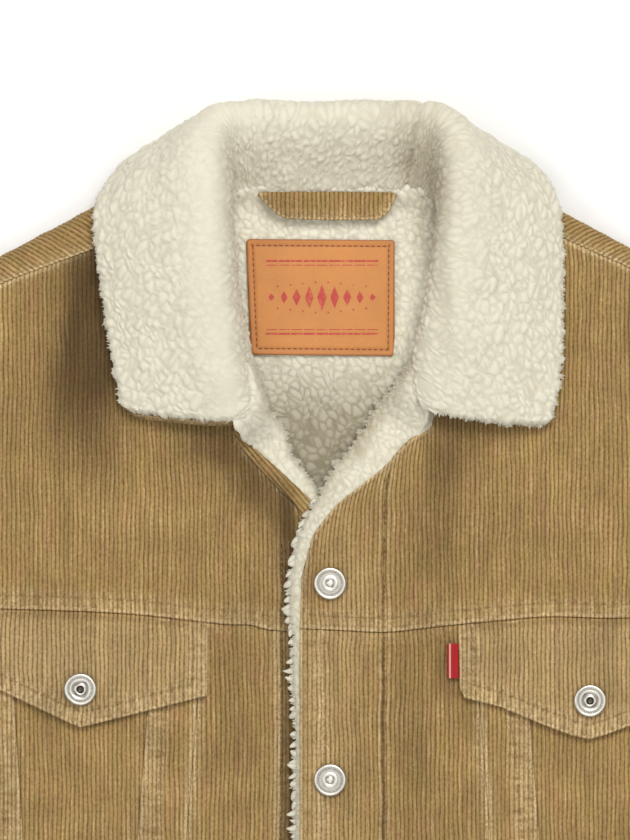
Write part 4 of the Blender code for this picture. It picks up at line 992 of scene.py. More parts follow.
print("cutting the fronts")
longStitch = {
    -1: [(-29.6, -182.0), (-29.4, waistSeam)],
    1: [(24.6, -145.0), (23.6, -229.0), (23.5, waistSeam)],
}
crestX = {-1: -32.2, 1: -9.6}  # a soft ridge beside the front edge
strip = {
    "lift": 0.9,
    "sink": 1.9,  # how far its top goes down under the yoke, and over what length
    "reach": 3.0,
    "rows": (2.2, 6.0),  # distance between rows in the framed part and below it
}
near, far = strip["rows"]
stripRows = np.concatenate([np.arange(-700.0, garment["framedLow"], far),
                            np.arange(garment["framedLow"], -200.0, near)])
for side in (-1, 1):
    name = sideNames[side]
    over = side == 1
    place = frontPlace(over)
    seam = stripSeam(side)
    outline = list(seam[:-1]) + armhole(side, seam[-1][1], chestAtArmhole) + chestLine(side)[1:]
    outline += overEdge[-2::-1] if over else [overlap["underCorner"]] + underEdge[::-1]
    outline += neckEdge[side][::-1]
    seams = [(chestLine(side), "folded"), (seam, "plain")]
    seams += [(armhole(side, seam[-1][1], chestAtArmhole), "plain")]
    seams += [(overEdge, "piped") if over else (underEdge, "plain"), (longStitch[side], "topstitch")]
    pull = (overEdge[::-1], 4.5, 5.0) if over else (underEdge[::-1], 2.0, 4.0)
    clothPanel("front_yoke_" + name, outline, place, seams=seams, restsOn=("back_yoke",),
               rows=np.arange(-240.0, 20.0, 2.6), pull=pull)

    edgeX = chestAtEdge[side][0]
    tops = [edgeX] + [seamOnChest(n, side) for n in slantedSeams]
    feet = [edgeX] + [side * float(seamX(n, waistSeam)) for n in slantedSeams]
    lines = [[onChest(side, top), (low, waistSeam)] for top, low in zip(tops, feet)]
    edgeKind = "placket" if over else "plain"
    kinds = [(edgeKind, "stitched"), ("plain", "strip"), ("under", "under"), ("strip", "plain")]
    for i, piece in enumerate(["front_centre", "strip_inner", "pocket_panel", "strip_outer"]):
        outline = chestBetween(side, tops[i], tops[i + 1]) + [(feet[i + 1], waistSeam), (feet[i], waistSeam)]
        isStrip = piece.startswith("strip")
        seams = [(chestLine(side), "under"), (waistLine, "plain"),
                 (lines[i], kinds[i][0]), (lines[i + 1], kinds[i][1])]
        if piece == "front_centre":
            wavy = [(crestX[side] + 0.7 * math.sin(y / 9.0), y) for y in np.arange(-200.0, waistSeam, -6.0)]
            seams += [(longStitch[side], "topstitch"), (wavy, "crest")]
        laid = underYoke(side, strip["lift"], strip["sink"], strip["reach"]) if isStrip else place
        clothPanel(f"{piece}_{name}", outline, laid, seams=seams, rows=stripRows if isStrip else None,
                   restsOn=("back_centre", "front_yoke_" + name))
    outline = chestBetween(side, tops[4], side * float(armholeX(side, chestAtArmhole)))[:-1]
    outline += [unroll(p) for p in armhole(side, chestAtArmhole, underarm[1])]
    outline += sideSeam(side)[1:] + [(feet[4], waistSeam)]
    seams = [(chestLine(side), "under"), (waistLine, "plain")]
    seams += [(lines[4], "stitched"), (sideSeam(side), "plain")]
    clothPanel("front_side_" + name, outline, place, seams=seams, phases=hiddenWales,
               restsOn=("back_side_" + name,))
    band = [sideUnrolled(side, waistSeam), sideUnrolled(side, hem), (edgeX, hem), (edgeX, waistSeam)]
    seams = [(waistLine, "folded"), (hemLine, "stitched"), ([(edgeX, waistSeam), (edgeX, hem)], edgeKind)]
    clothPanel("waistband_" + name, band, place, seams=seams, restsOn=("waistband_back",), **bandCloth)

print("cutting the sleeves")
sleeve = {
    "lines": [  # outer fold x, y, inner fold x, y
        (315.0, -116.0, 280.0, -302.0),
        (392.0, -180.0, 298.0, -330.0),
        (462.0, -296.0, 340.0, -400.0),
        (510.0, -415.0, 392.0, -482.0),
        (545.0, -528.0, 438.0, -566.0),
    ],
    "endBend": 6.2,  # radius of its folded sides at the cuff
    "rowStep": {"top": 9.0, "under": 20.0},
    "folds": [  # along 0-1, across 0-1, length across, width along, height
        (0.34, 0.72, 0.30, 0.030, 5.0),
        (0.47, 0.80, 0.26, 0.028, 6.0),
        (0.56, 0.70, 0.34, 0.026, 5.0),
        (0.66, 0.82, 0.22, 0.024, 4.0),
        (0.86, 0.35, 0.30, 0.026, 3.0),
        (0.20, 0.45, 0.30, 0.020, 1.4),
        (0.41, 0.55, 0.26, 0.012, -1.2),
        (0.52, 0.48, 0.22, 0.012, -1.4),
        (0.61, 0.60, 0.30, 0.010, -1.2),
        (0.74, 0.42, 0.26, 0.014, 1.5),
        (0.93, 0.55, 0.34, 0.012, 1.2),
    ],
}
cuff = {"bend": 7.0, "length": 55.0, "gap": 0.3, "rim": 6.8}


def sleevePlan(side, along, across):
    tip, low = np.array(shoulderTip[side]), np.array(underarm)
    rows = between(spline([(*tip, *low)] + sleeve["lines"], 9), along)
    spot = rows[:, :2] + (rows[:, 2:] - rows[:, :2]) * across[:, None]
    onArmhole = between(armholeCurve[side], across)
    straight = tip + (low - tip) * across[:, None]
    fade = (1.0 - np.clip(along / 0.4, 0.0, 1.0)) ** 2
    spot = spot + (onArmhole - straight) * fade[:, None]
    ease = 0.3 + 1.5 * smooth((across - 0.8) / 0.2) + 0.9 * (1.0 - smooth((across - 0.05) / 0.2))
    return np.stack([side * (spot[:, 0] + ease * fade), spot[:, 1]], axis=1)


def sleeveBend(along):
    return bend + (sleeve["endBend"] - bend) * smooth(along * 1.1)


def sleeveFolds(along, across):
    rise = 0.0
    for at, centre, long, wide, height in sleeve["folds"]:
        over = 1.0 / (1.0 + ((along - at - 0.06 * (across - centre)) / wide) ** 4)
        rise = rise + height * over * (1.0 - smooth(np.abs(across - centre) / long))
    return rise * smooth(along / 0.12) * smooth((1.0 - along) / 0.06)


def tubeAt(fromMiddle, wide, radius):
    # a place round a flat tube: how far across it lies as seen from above, and its height over the middle
    whole = wide + (math.pi - 2.0) * radius
    stop = whole / 2 - fromMiddle
    arc = radius * math.pi / 2
    first = np.clip(math.pi / 2 - stop / radius, 0.0, math.pi / 2)
    last = np.clip((stop - whole) / radius + math.pi / 2, 0.0, math.pi / 2)
    isFirst, isLast = stop < arc, stop > whole - arc
    spot = np.where(isLast, wide - radius + radius * np.sin(last), stop - arc + radius)
    high = np.where(isLast, radius * np.cos(last), radius)
    return (np.where(isFirst, radius - radius * np.sin(first), spot) / wide,
            np.where(isFirst, radius * np.cos(first), high))


def cutSleeve(side):
    name = sideNames[side]
    stops = np.linspace(0.0, 1.0, 61)
    outerLine, innerLine = sleevePlan(side, stops, np.zeros(61)), sleevePlan(side, stops, np.ones(61))
    widths = np.linalg.norm(outerLine - innerLine, axis=1)
    middle = lineLength((outerLine + innerLine) / 2)
    cuts = widths + (math.pi - 2.0) * sleeveBend(stops)
    left, right = (np.stack([s * cuts / 2, -middle], axis=1) for s in (-1, 1))

    def sleevePlace(part):
        def place(w, s):
            along = np.interp(-s, middle, stops)
            radius = sleeveBend(along)
            across, high = tubeAt(w * side, np.interp(along, stops, widths), radius)
            z = radius + high + sleeveFolds(along, across) if part == "top" else radius - high
            return np.column_stack([sleevePlan(side, along, across), z])
        return place

    for part, out, rests in (("top", 1, "sleeve_under_"), ("under", -1, "back_side_")):
        clothPanel(f"sleeve_{part}_{name}", np.vstack([left, right[::-1]]), sleevePlace(part), out=out,
                   phases=hiddenWales, rows=np.arange(-700.0, 30.0, sleeve["rowStep"][part]),
                   seams=[([left[0], right[0]], "stitched"), ([left[-1], right[-1]], "under"),
                          (left, "plain"), (right, "plain")],
                   restsOn=(rests + name,))
    way = unit(unit(outerLine[-1] - outerLine[-2]) + unit(innerLine[-1] - innerLine[-2]))
    cutCuff(side, outerLine[-1] + way * cuff["gap"], innerLine[-1] + way * cuff["gap"], way)


def cutCuff(side, outer, inner, way):
    name = sideNames[side]
    wide = math.hypot(*(outer - inner))
    half = (wide + (math.pi - 2.0) * cuff["bend"]) / 2
    foot = -cuff["length"]

    def cuffPlace(part):
        def place(w, s):
            across, high = tubeAt(w * side, wide, cuff["bend"])
            plan = outer + (inner - outer) * across[:, None] - way * s[:, None]
            return np.column_stack([plan, cuff["bend"] + (high if part == "top" else -high)])
        return place

    top, bottom = ([(-200.0, y), (200.0, y)] for y in (0.0, foot))
    for part, out, rests in (("top", 1, "cuff_under_"), ("under", -1, "sleeve_under_")):
        clothPanel(f"cuff_{part}_{name}", [(-half, 0.0), (-half, foot), (half, foot), (half, 0.0)],
                   cuffPlace(part), out=out, grain=math.pi / 2, phases=hiddenWales,
                   rim=rimAt(foot, cuff["rim"]), seams=[(top, "folded"), (bottom, "stitched")],
                   restsOn=(rests + name,))


for side in (-1, 1):
    cutSleeve(side)


print("brushing the pile")
pile = {
    "nub": (4.0, 4.2),  # a curl's size across and along, millimetres
    "step": 0.8,  # of the mesh
    "farStep": 2.4,  # below the framed part
    "tooth": 5.2,  # distance between the points of the front edge's fringe
}
# rise: height of the curls. edge: how far in the pile comes to its full height. ragged and teeth: how far
# the curls and the fringe push its outline out. hidden: painted shade beside its edge, by how much and how
# wide.
# shades: painted shade where the pile lies in shadow, in the columns of the body's folds
lining = {
    "outline": [(-62.0, 6.0), (-70.0, -40.0), (-64.0, -90.0), (-46.0, -132.0), (-24.0, -158.0), (8.0, -158.0),
                (38.0, -132.0), (58.0, -90.0), (66.0, -40.0), (58.0, 6.0)],
    "low": 2.3,
    "thick": 5.6,
    "thicker": 8.0,  # how much more there is against the collar's stand
    "pile": {"edge": 2.0, "nub": pile["nub"], "rise": 1.3, "seed": 11,
             "shades": [(-4.0, -130.0, 0.0, 66.0, 44.0, 0.8), (46.0, -10.0, 0.0, 40.0, 8.0, 0.3)]},
}
facingLeft = {
    "low": 8.6,
    "thick": 9.4,
    "toCollar": 17.0,  # rise towards the collar's end
    "collarEnd": [(-47.0, -88.0), (-42.0, -106.0), (-54.0, -118.0)],
    "pile": {"edge": 5.0, "nub": (3.8, 4.6), "rise": 1.0, "seed": 23, "ragged": 1.0, "teeth": 0.8,
             "hidden": (0.25, 5.0)},
}
facingRight = {
    "low": 8.6,
    "thick": 9.2,
    "thinner": 2.3,  # how much less there is down the front edge
    "toCollar": 14.5,
    "collarEnd": [(41.0, -80.0), (38.5, -101.0), (50.5, -112.0)],
    "pile": {"edge": 4.4, "nub": (3.4, 4.0), "rise": 1.1, "seed": 37, "ragged": 0.8, "teeth": 3.0,
             "hidden": (0.4, 11.0),
             "shades": [(14.0, -122.0, -40.0, 40.0, 7.0, 0.2), (-24.0, -300.0, 0.0, 160.0, 8.0, 0.25)]},
}


def curls(u, v, nub, seed):
    # domes of a curled pile, 1 on top and 0 between two curls, and the narrow dark lines between them
    domes, lines = np.empty(len(u)), np.empty(len(u))
    for k in range(len(u)):
        a, b = u[k] / nub[0], v[k] / nub[1]
        bent = noise.noise(Vector((a * 0.6, b * 0.6, seed + 5.5))) * 0.6
        distances, centres = noise.voronoi(Vector((a + bent, b - bent, seed)))
        toNext = distances[1] - distances[0]
        tall = 0.78 + 0.22 * math.sin(centres[0][0] * 12.9 + centres[0][1] * 7.7)  # each has its own height
        dark = 0.75 + 0.25 * math.sin(centres[1][0] * 5.1 + centres[1][1] * 9.3)
        domes[k] = (1.0 - (1.0 - min(1.0, toNext / 0.6)) ** 2) * tall
        lines[k] = max(0.0, 1.0 - toNext / 0.3) * dark
    return domes, lines


def jagged(outline, amount, nub, seed, teeth):
    # an outline with the uneven edge of a brushed pile, each curl a little outwards
    line = spacedRound(outline, pile["step"])
    step = unit(np.roll(line, -1, axis=0) - np.roll(line, 1, axis=0))
    run = np.arange(len(line)) * pile["step"]
    flat = np.stack([run, np.zeros(len(run))], 1)
    push = 2.0 * amount * (curls(line[:, 0], line[:, 1], nub, seed)[0] - 0.45)
    turn = run / pile["tooth"] + 0.5 * rumple(flat, 9.0, seed + 1)
    push += teeth * (2.0 * np.abs(turn % 1.0 - 0.5) - 0.45) * (1.0 + 0.4 * rumple(flat, 7.0, seed + 2))
    return line + np.stack([step[:, 1], -step[:, 0]], axis=1) * push[:, None] * np.sign(signedArea(line))


def pileMesh(name, solid, faces, material, depth, rimDepth):
    depth = np.clip(depth, 0.0, 1.0)
    # the pile's sides are painted with shade
    rim = np.full(len(solid) - len(depth), rimDepth)
    sheet = makeMesh(name + "_pile", solid, faces, material, {"depth": np.append(depth, rim)})
    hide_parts(name)
    return sheet


def pileSheet(name, outline, low, thick, material, edge, nub, rise, seed, ragged=0.6, teeth=0.0,
              hidden=(0.0, 1.0), shades=(), freeEdge=None, under=None, restsOn=(), padded=False):
    # a piece of pile over its plain underside, with its curls, its ragged edge and its rounded sides
    outline = np.array(outline, float)
    if signedArea(outline) < 0:
        outline = outline[::-1]
    poly = jagged(outline, ragged, nub, seed, teeth)
    step, limit = pile["step"], garment["framedLow"]
    columns = np.arange(poly[:, 0].min() + 0.2, poly[:, 0].max() - 0.1, step)
    rows = np.concatenate([np.arange(-600.0, limit, pile["farStep"]), np.arange(limit, 20.0, step)])
    flat, faces = ladder(poly, columns, rows, (0.02, 0.4, 0.9, 1.5))
    edgeLine = outline if freeEdge is None else np.array(freeEdge, float)
    gap = nearLine(flat, edgeLine, closed=freeEdge is None)[0]
    gap = np.where(inside(flat, outline), gap, 0.0)
    share = np.clip((gap + 0.3) / edge, 0.0, 1.0)
    crown = 0.3 + 0.7 * quarterRound(share)
    domes, lines = curls(flat[:, 0], flat[:, 1], nub, seed)
    broad = rumple(flat, 14.0, seed + 2) * 0.5
    x, y = flat[:, 0], flat[:, 1]
    high = low(x, y) + thick(x, y) * crown + (rise * (domes - 0.6) + broad) * (0.35 + 0.65 * share)
    if under is not None:  # where it goes in under the corduroy
        fromEnd = nearLine(flat, under)[0]
        cover = frontPlace(True)(x, y)[:, 2]
        high = np.minimum(high, cover - 1.3 + 0.45 * fromEnd + 0.9 * np.maximum(fromEnd - 2.2, 0.0) ** 2)
    points = np.stack([x, y, high], axis=1)
    solid, faces, _ = openRim(points, upward(len(points)), faces, np.maximum(high - low(x, y) - 0.2, 0.3))
    amount, width = hidden
    # painted shade between the curls, under the listed shades and beside the edge
    depth = 0.38 * lines + ridges(x, y, shades)
    depth += amount * (1.0 - smooth(gap / width)) * (0.3 + 0.7 * smooth((y + 176.0) / 24.0))
    sheet = pileMesh(name, solid, faces, material, depth, 0.5)
    if padded:
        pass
    else:
        declareCloth(outline)
    return points, gap


def thickTo(piece):
    # a facing's thickness: the pile rises where it meets the end of the collar
    def thick(x, y):
        gap = nearLine(np.stack([x, y], axis=1), piece["collarEnd"])[0]
        thinner = piece.get("thinner", 0.0) * smooth((-150.0 - y) / 40.0)
        return piece["thick"] - thinner + piece["toCollar"] * (1.0 - smooth(gap / 22.0))
    return thick


liningPoints, _ = pileSheet(
    "lining_neck", lining["outline"], lambda x, y: np.full_like(x, lining["low"]),
    lambda x, y: lining["thick"] + lining["thicker"] * smooth((y + 10.0) / 14.0), sherpaLining,
    freeEdge=lining["outline"][:-1], restsOn=("back_yoke",), **lining["pile"])

underInner = [(-45.0, -84.0), (-41.5, -92.0)] + pileEdgeUnder + [(-8.0, -156.0)]
underOutline = [tuple(p) for p in beside(rollEdge, -1.1)] + [(-9.0, -162.0)] + underInner[::-1]
underOutline += [(-56.0, -98.0), (-56.0, -114.0)]
underPoints, underGap = pileSheet(
    "facing_left", underOutline, lambda x, y: np.full_like(x, facingLeft["low"]), thickTo(facingLeft), sherpa,
    freeEdge=underInner, padded=True, **facingLeft["pile"])

pileInner = smoothLine([(42.6, -75.0), (35.4, -88.0), (30.0, -97.0)] + pileEdgeOver[1:], 3)
hiddenEdge = [tuple(p) for p in beside([(50.5, -114.0)] + overEdge, 2.2)] + [(-17.9, waistSeam)]
overOutline = [(46.0, -73.0), (52.0, -90.0), (53.0, -108.0)] + hiddenEdge + pileInner[::-1]
overPoints, overGap = pileSheet(
    "facing_right", overOutline,
    lambda x, y: facingRight["low"] + overlap["rise"] * smooth((-118.0 - y) / 34.0),
    thickTo(facingRight), sherpa, freeEdge=pileInner, under=hiddenEdge, padded=True, **facingRight["pile"])

print("turning the left neck edge")
rollUnder = [(-54.4, -127.4)] + list(beside(underEdge, -1.0)[1:-1]) + [(-15.4, -172.6)]
rollOver = rollEdge[:-1] + [(-12.0, -160.6)]
rollOutline = np.array([tuple(p) for p in rollUnder] + rollOver[::-1])


def rollPlace(x, y):
    # a full round edge, a little above the yoke on one side and level with the pile on the other
    flat = np.stack([x, y], axis=1)
    fromYoke, fromPile = nearLine(flat, rollUnder)[0], nearLine(flat, rollOver)[0]
    full, turn = 1.0 - quarterRound(fromYoke / 3.6), 1.0 - quarterRound(fromPile / 1.6)
    return np.stack([x, y, 19.6 - 1.9 * full - turn - 0.5 * bell((fromPile - 4.0) / 0.8)], axis=1)


clothPanel("neck_edge_left", rollOutline, rollPlace, grain=0.705, rows=np.arange(-220.0, 80.0, 1.5), rim=3.4,
           seams=[(rollOver, "turned")], padded=True, depth=0.6, pale=0.2,
           edgeSteps=(0.05, 0.4, 0.9, 1.5, 2.2, 3.2))

print("making the collar")
collar = {
    "nub": (3.8, 5.4),  # of the fall's curls
    "rise": 1.45,
    "height": 6.0,
    "heightAtSeam": 3.0,
    "corner": 7.0,
    "lumps": {"edge": (2.0, 0.15), "ends": (1.8, 0.25)},  # how far its curls push the edges out, and in
    "notches": [(-46.5, 0.5), (41.0, 2.2)],  # x at the roll where the stand turns into the fall, depth
    # shades: painted shade where the right of the stand and the right wing's inner edge lie in shadow, in the
    # columns of the body's folds
    "shades": [(43.0, 14.0, 8.0, 52.0, 13.0, 0.5), (54.0, -50.0, 4.0, 60.0, 4.5, 0.25)],
}

collarRows = [
    # neck seam x, y, z, roll x, y, z, middle of the fall x, y, z, outer edge x, y, z
    (-41, -107, 24.5, -54.5, -117.5, 30.5, -86, -116.5, 27.5, -112, -113, 22.6),
    (-45.5, -86, 17.5, -58, -91, 37, -90, -90, 32, -116, -89, 22.2),
    (-53, -56, 13.5, -62.5, -56, 43, -95, -57, 35.5, -120.5, -57, 21.8),
    (-56, -24, 12, -65.5, -22, 46, -99, -24, 37, -125, -26, 21.4),
    (-57.5, -6, 11.5, -66.5, 8, 47, -100, 3, 36, -123.5, -4, 19.6),
    (-56.5, 0.6, 11, -66, 28.5, 44, -93, 20.5, 27, -108.5, 14, 6),
    (-52, 1.4, 10.8, -60.5, 38, 41, -76, 32.5, 21, -82, 29.5, 2.2),
    (-44, 1.2, 10.6, -47, 39.5, 38.5, -51, 40.5, 20, -52, 33.5, 1.6),
    (-24, 0.8, 10.5, -26, 38.5, 37.5, -27, 41, 19, -27, 32.5, 1.4),
    (0, 0.7, 10.5, 0, 38.5, 37.5, 0, 41, 19, 0, 32.5, 1.4),
    (22, 0.8, 10.5, 24, 38.5, 37.5, 26, 41, 19, 26, 32.5, 1.4),
    (36, 1.2, 10.6, 43, 39.5, 38.5, 49, 40, 20, 51, 32.5, 1.6),
    (44, 1.2, 10.8, 54, 36.5, 41, 66.5, 31.5, 21, 73, 28, 2.2),
    (50, 0, 11, 60.5, 22.5, 44, 84.5, 17.5, 27, 100.5, 12, 6),
    (54, -7, 11.5, 61, 1, 46.5, 90, -1, 35.5, 112, -3, 19.8),
    (54.5, -24, 12, 59, -20, 46, 91, -22, 36.5, 115.5, -24, 21.4),
    (49, -54, 13.5, 54.5, -54, 43, 88, -56, 35.5, 115.5, -58, 21.8),
    (40.5, -82, 17.5, 49, -85, 37, 86, -89, 32, 115, -91, 22.2),
    (38, -102, 24.5, 50.5, -112.5, 30.5, 83, -119, 27.5, 110.5, -120.5, 22.6),
]


def runAcross(grid):
    # how far each point of a row is from the row's first point
    steps = np.linalg.norm(np.diff(grid, axis=1), axis=2)
    return np.concatenate([np.zeros((len(grid), 1)), np.cumsum(steps, axis=1)], axis=1)


def directions(grid):
    # along the collar, out across it, and straight up from it
    along, across = np.gradient(grid, axis=0), np.gradient(grid, axis=1)
    return unit(along), unit(across), unit(np.cross(along, across))


def facingOut(points, faces, normals):
    # turns the triangles over if they look inwards
    a, b, c = (points[faces[:, k]] for k in range(3))
    return faces[:, ::-1] if (np.cross(b - a, c - a) * normals[faces[:, 0]]).sum() < 0 else faces


collarLines = spline(collarRows, 36)
middleRun = lineLength(collarLines[:, 6:9])


def collarSurface(run, steps, trimmed):
    # points over the collar at places along it, with its two lower corners rounded, and with its edges
    # drawn in by the given amounts: left end, right end, outer edge
    grid = np.stack([spline(row.reshape(4, 3), steps) for row in pointsAt(collarLines, middleRun, run)])
    way, out, _ = directions(grid)
    across = runAcross(grid)
    outerGap = across[:, -1:] - across
    radius = collar["corner"]
    moved = grid.copy()
    for sign, gap, back in ((1.0, run, trimmed[0]), (-1.0, run[-1] - run, trimmed[1])):
        a = np.clip(1.0 - gap / radius, 0.0, 1.0)[:, None] * np.ones_like(outerGap)
        b = np.clip(1.0 - outerGap / radius, 0.0, 1.0)
        inward = radius * (a - a * np.sqrt(1.0 - b * b / 2)) + back * smooth(a * 1.3)
        upwards = radius * (b - b * np.sqrt(1.0 - a * a / 2)) * (a > 0)
        moved += way * (sign * inward)[:, :, None] - out * upwards[:, :, None]
    return moved - out * (trimmed[2] * smooth(1.0 - outerGap / radius))[:, :, None]


evenRun = np.append(np.arange(0.0, middleRun[-1], pile["step"]), middleRun[-1])
grid = collarSurface(evenRun, 38, (1.2, 0.3, 0.0))
rowsUp, columnsAcross = grid.shape[:2]
acrossRun = runAcross(grid)
outerGap = acrossRun[:, -1:] - acrossRun
endGap = np.minimum(evenRun, evenRun[-1] - evenRun)[:, None] * np.ones((1, columnsAcross))
toEnd = np.where(np.arange(rowsUp) < rowsUp / 2, -1.0, 1.0)[:, None]
# the curls make its outer edge and its ends lumpy
out = directions(grid)[1]
push, inset = collar["lumps"]["edge"]
lumps = push * (curls(acrossRun[:, -1], evenRun, collar["nub"], 57.0)[0] - inset)
grid = grid + out * (lumps[:, None] * (1.0 - smooth(outerGap / 7.0)))[:, :, None]
way = directions(grid)[0]
push, inset = collar["lumps"]["ends"]
lumps = push * (curls(acrossRun[0], np.zeros(columnsAcross), collar["nub"], 57.0)[0] - inset)
grid = grid + way * (toEnd * lumps[None, :] * (1.0 - smooth(endGap / 7.0)))[:, :, None]
flatGrid, flatNormals = grid.reshape(-1, 3), directions(grid)[2].reshape(-1, 3)

share = np.linspace(0.0, 1.0, columnsAcross)[None, :] * np.ones((rowsUp, 1))
tall = collar["heightAtSeam"] + (collar["height"] - collar["heightAtSeam"]) * smooth(share / 0.25)
# the end runs on into the facing
atEnd = np.maximum(quarterRound(endGap / 4.5), 0.8 * (1.0 - smooth((share - 0.3) / 0.16)))
crown = (0.22 + 0.78 * np.minimum(quarterRound(outerGap / 4.5), atEnd)).ravel()
isFall = smooth((share - 0.36) / 0.18).ravel()
u, v = acrossRun.ravel(), np.repeat(evenRun, columnsAcross)
standDomes, standLines = curls(u, v, pile["nub"], 51.0)
fallDomes, fallLines = curls(u, v, collar["nub"], 57.0)
domes = isFall * fallDomes + (1.0 - isFall) * standDomes
lines = isFall * fallLines + (1.0 - isFall) * standLines
onLeft = (v < evenRun[-1] * 0.42).astype(float)
atRoll = bell((share - 0.36) / 0.09).ravel() * (0.35 + 0.65 * onLeft)
swell = rumple(np.stack([u, v], 1), 17.0, 9) * 0.7
rollX, rollY = pointsAt(collarLines[:, 3:5], middleRun, evenRun).T
for notchX, deepness in collar["notches"]:
    at = evenRun[np.argmin(np.abs(rollX - notchX) + 1000.0 * (rollY < 25.0))]  # only at the back
    swell = swell - deepness * bell((v - at) / 2.2) * (1.0 - smooth((share.ravel() - 0.5) / 0.3))
rise = collar["rise"] * (1.0 - 0.75 * atRoll)
height = tall.ravel() * crown + (rise * (domes - 0.6) + swell) * np.clip(crown, 0.3, 1.0)
collarPoints = flatGrid + flatNormals * np.maximum(height, 0.3)[:, None]
faces = facingOut(collarPoints, gridFaces(rowsUp, columnsAcross), flatNormals)
solid, faces, _ = openRim(collarPoints, flatNormals, faces, np.maximum(height - 0.2, 0.2))
# painted shade between the curls, less on the roll, and where the collar lies in shadow
shade = ridges(collarPoints[:, 0], collarPoints[:, 1], collar["shades"])
collarPile = pileMesh("collar_pile", solid, faces, sherpa, 0.32 * lines * (1.0 - 0.7 * atRoll) + shade, 0.7)

# the corduroy side, with its wales from the seam to the edge
width = garment["waleWidth"]
waleRun = (np.arange(0, int(middleRun[-1] / width))[:, None] * width + np.array(hiddenWales) * width).ravel()
waleRun = np.append(waleRun, middleRun[-1])
under = collarSurface(waleRun, 8, (-1.9, 0.6, 0.6))
acrossAt, outward = runAcross(under), -directions(under)[2]
columnsUnder = under.shape[1]
share = np.linspace(0.0, 1.0, columnsUnder)[None, :]
phase = np.abs(np.sin(math.pi * waleRun / width))[:, None]
thick = 0.15 + 2.0 * (0.55 + 0.45 * smooth(share / 0.2)) - garment["waleDepth"] * (1.0 - phase**0.6)
points, outward = (under + outward * thick[:, :, None]).reshape(-1, 3), outward.reshape(-1, 3)
faces = facingOut(points, gridFaces(*under.shape[:2]), outward)
solid, faces, used = openRim(points, outward, faces, 2.0)
groove = np.repeat(1.0 - phase**0.45, columnsUnder, axis=1).ravel()
cut = np.stack([np.repeat(waleRun, columnsUnder), acrossAt.ravel()], axis=1)
# painted light on the outer edge and the left end, which lie in shadow under the pile, and on the sides, which
# also take a little painted shade
wearAndPaintedLight = np.where(np.tile(share[0] > 0.95, len(under)) | np.repeat(waleRun < 2.0, columnsUnder), 0.9, 0.0)
underCollar = makeMesh("under_collar_cloth", solid, faces, corduroy,
                       {"groove": np.append(groove, np.full(len(used), 0.15)),
                        "wearAndPaintedLight": np.append(wearAndPaintedLight, np.full(len(used), 0.5))}, np.vstack([cut, cut[used]]))
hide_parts("under_collar")

print("teasing out the tufts")
tuft = {
    "halfWidth": 0.36,
    "widths": (1.0, 0.85, 0.55, 0.15),  # from its foot to its tip
    "depths": (0.35, 0.2, 0.05, 0.0),  # painted shade there, most at its foot
}


def tuftMesh(name, spots, normals, count, long, seed, material, reach=None):
    # fine curled ends of the pile: each is a bent blade that tapers to its tip
    random = np.random.default_rng(seed)
    chosen = random.choice(len(spots), size=min(count, len(spots)), replace=False)
    base, up = spots[chosen], normals[chosen]
    side = random.normal(size=base.shape)
    side = unit(side - (side * up).sum(axis=1)[:, None] * up)
    curl = random.normal(size=base.shape)
    size = long * random.uniform(0.5, 1.2, len(base))[:, None]
    lean = side * random.uniform(0.5, 1.1, len(base))[:, None]
    lean += up * random.uniform(0.3, 0.8, len(base))[:, None]
    if reach is not None:
        lean = lean + reach[chosen]
    wide = unit(np.cross(up, lean))
    points = []
    for k, share in enumerate(tuft["widths"]):
        t = k / 3.0
        spot = base + lean * size * t + curl * size * 0.16 * t * t - up * 0.2
        half = wide * tuft["halfWidth"] * share
        points += [spot - half, spot + half]
    points = np.stack(points, axis=1).reshape(-1, 3)
    depth = np.tile(np.repeat(tuft["depths"], 2), len(base))
    obj = makeMesh(name, points, repeated(gridFaces(4, 2), 8, len(base)), material, {"depth": depth})


def lockMesh(name, spots, towards, long, wide, seed):
    # small brushed locks in a row, each a soft lump that tapers outwards
    random = np.random.default_rng(seed)
    points, shades = [], []
    rings = [(-0.35, 0.8), (0.0, 1.0), (0.3, 0.95), (0.6, 0.75), (0.88, 0.4)]  # along, size
    sides = 6
    for spot in spots:
        way = unit(towards + random.normal(size=3) * (0.35, 0.35, 0.2))
        side = unit(np.cross(way, (0.0, 0.0, 1.0)))
        up = np.cross(side, way)
        size, girth = long * random.uniform(0.7, 1.25), wide * random.uniform(0.75, 1.2)
        bent = random.normal() * 0.3
        for at, share in rings:
            centre = spot + way * (at * size) + side * (bent * at * at * size)
            for j in range(sides):
                turn = 2 * math.pi * j / sides
                points.append(centre + (side * math.cos(turn) + up * math.sin(turn) * 0.8) * girth * share)
                # painted shade, most at the lock's root
                shades.append(0.2 * (1.0 - max(at, 0.0)) ** 2)
        points.append(spot + way * size + side * (bent * size))
        shades.append(0.0)
    tip = len(rings) * sides
    lock = np.vstack([ringFaces(len(rings), sides), capFaces(tip - sides, sides, tip)])
    obj = makeMesh(name, np.array(points), repeated(lock, tip + 1, len(spots)), sherpa, {"depth": shades})


def alongEdge(line, gap, seed):
    # uneven places along a line of x, y, z
    random = np.random.default_rng(seed)
    run = lineLength(line)
    at = np.cumsum(gap * random.uniform(0.6, 1.4, int(run[-1] / gap)))
    return pointsAt(line, run, at[at < run[-1]])


def onPile(line, points, gap):
    # the height of the pile just inside its edge
    inner = points[(gap > 0.9) & (gap < 2.6)]
    line = np.array(line, float)
    away = line[:, None, :2] - inner[None, :, :2]
    near = np.argmin((away**2).sum(axis=2), axis=1)
    return np.column_stack([line[:, :2], inner[near, 2] - 1.2])


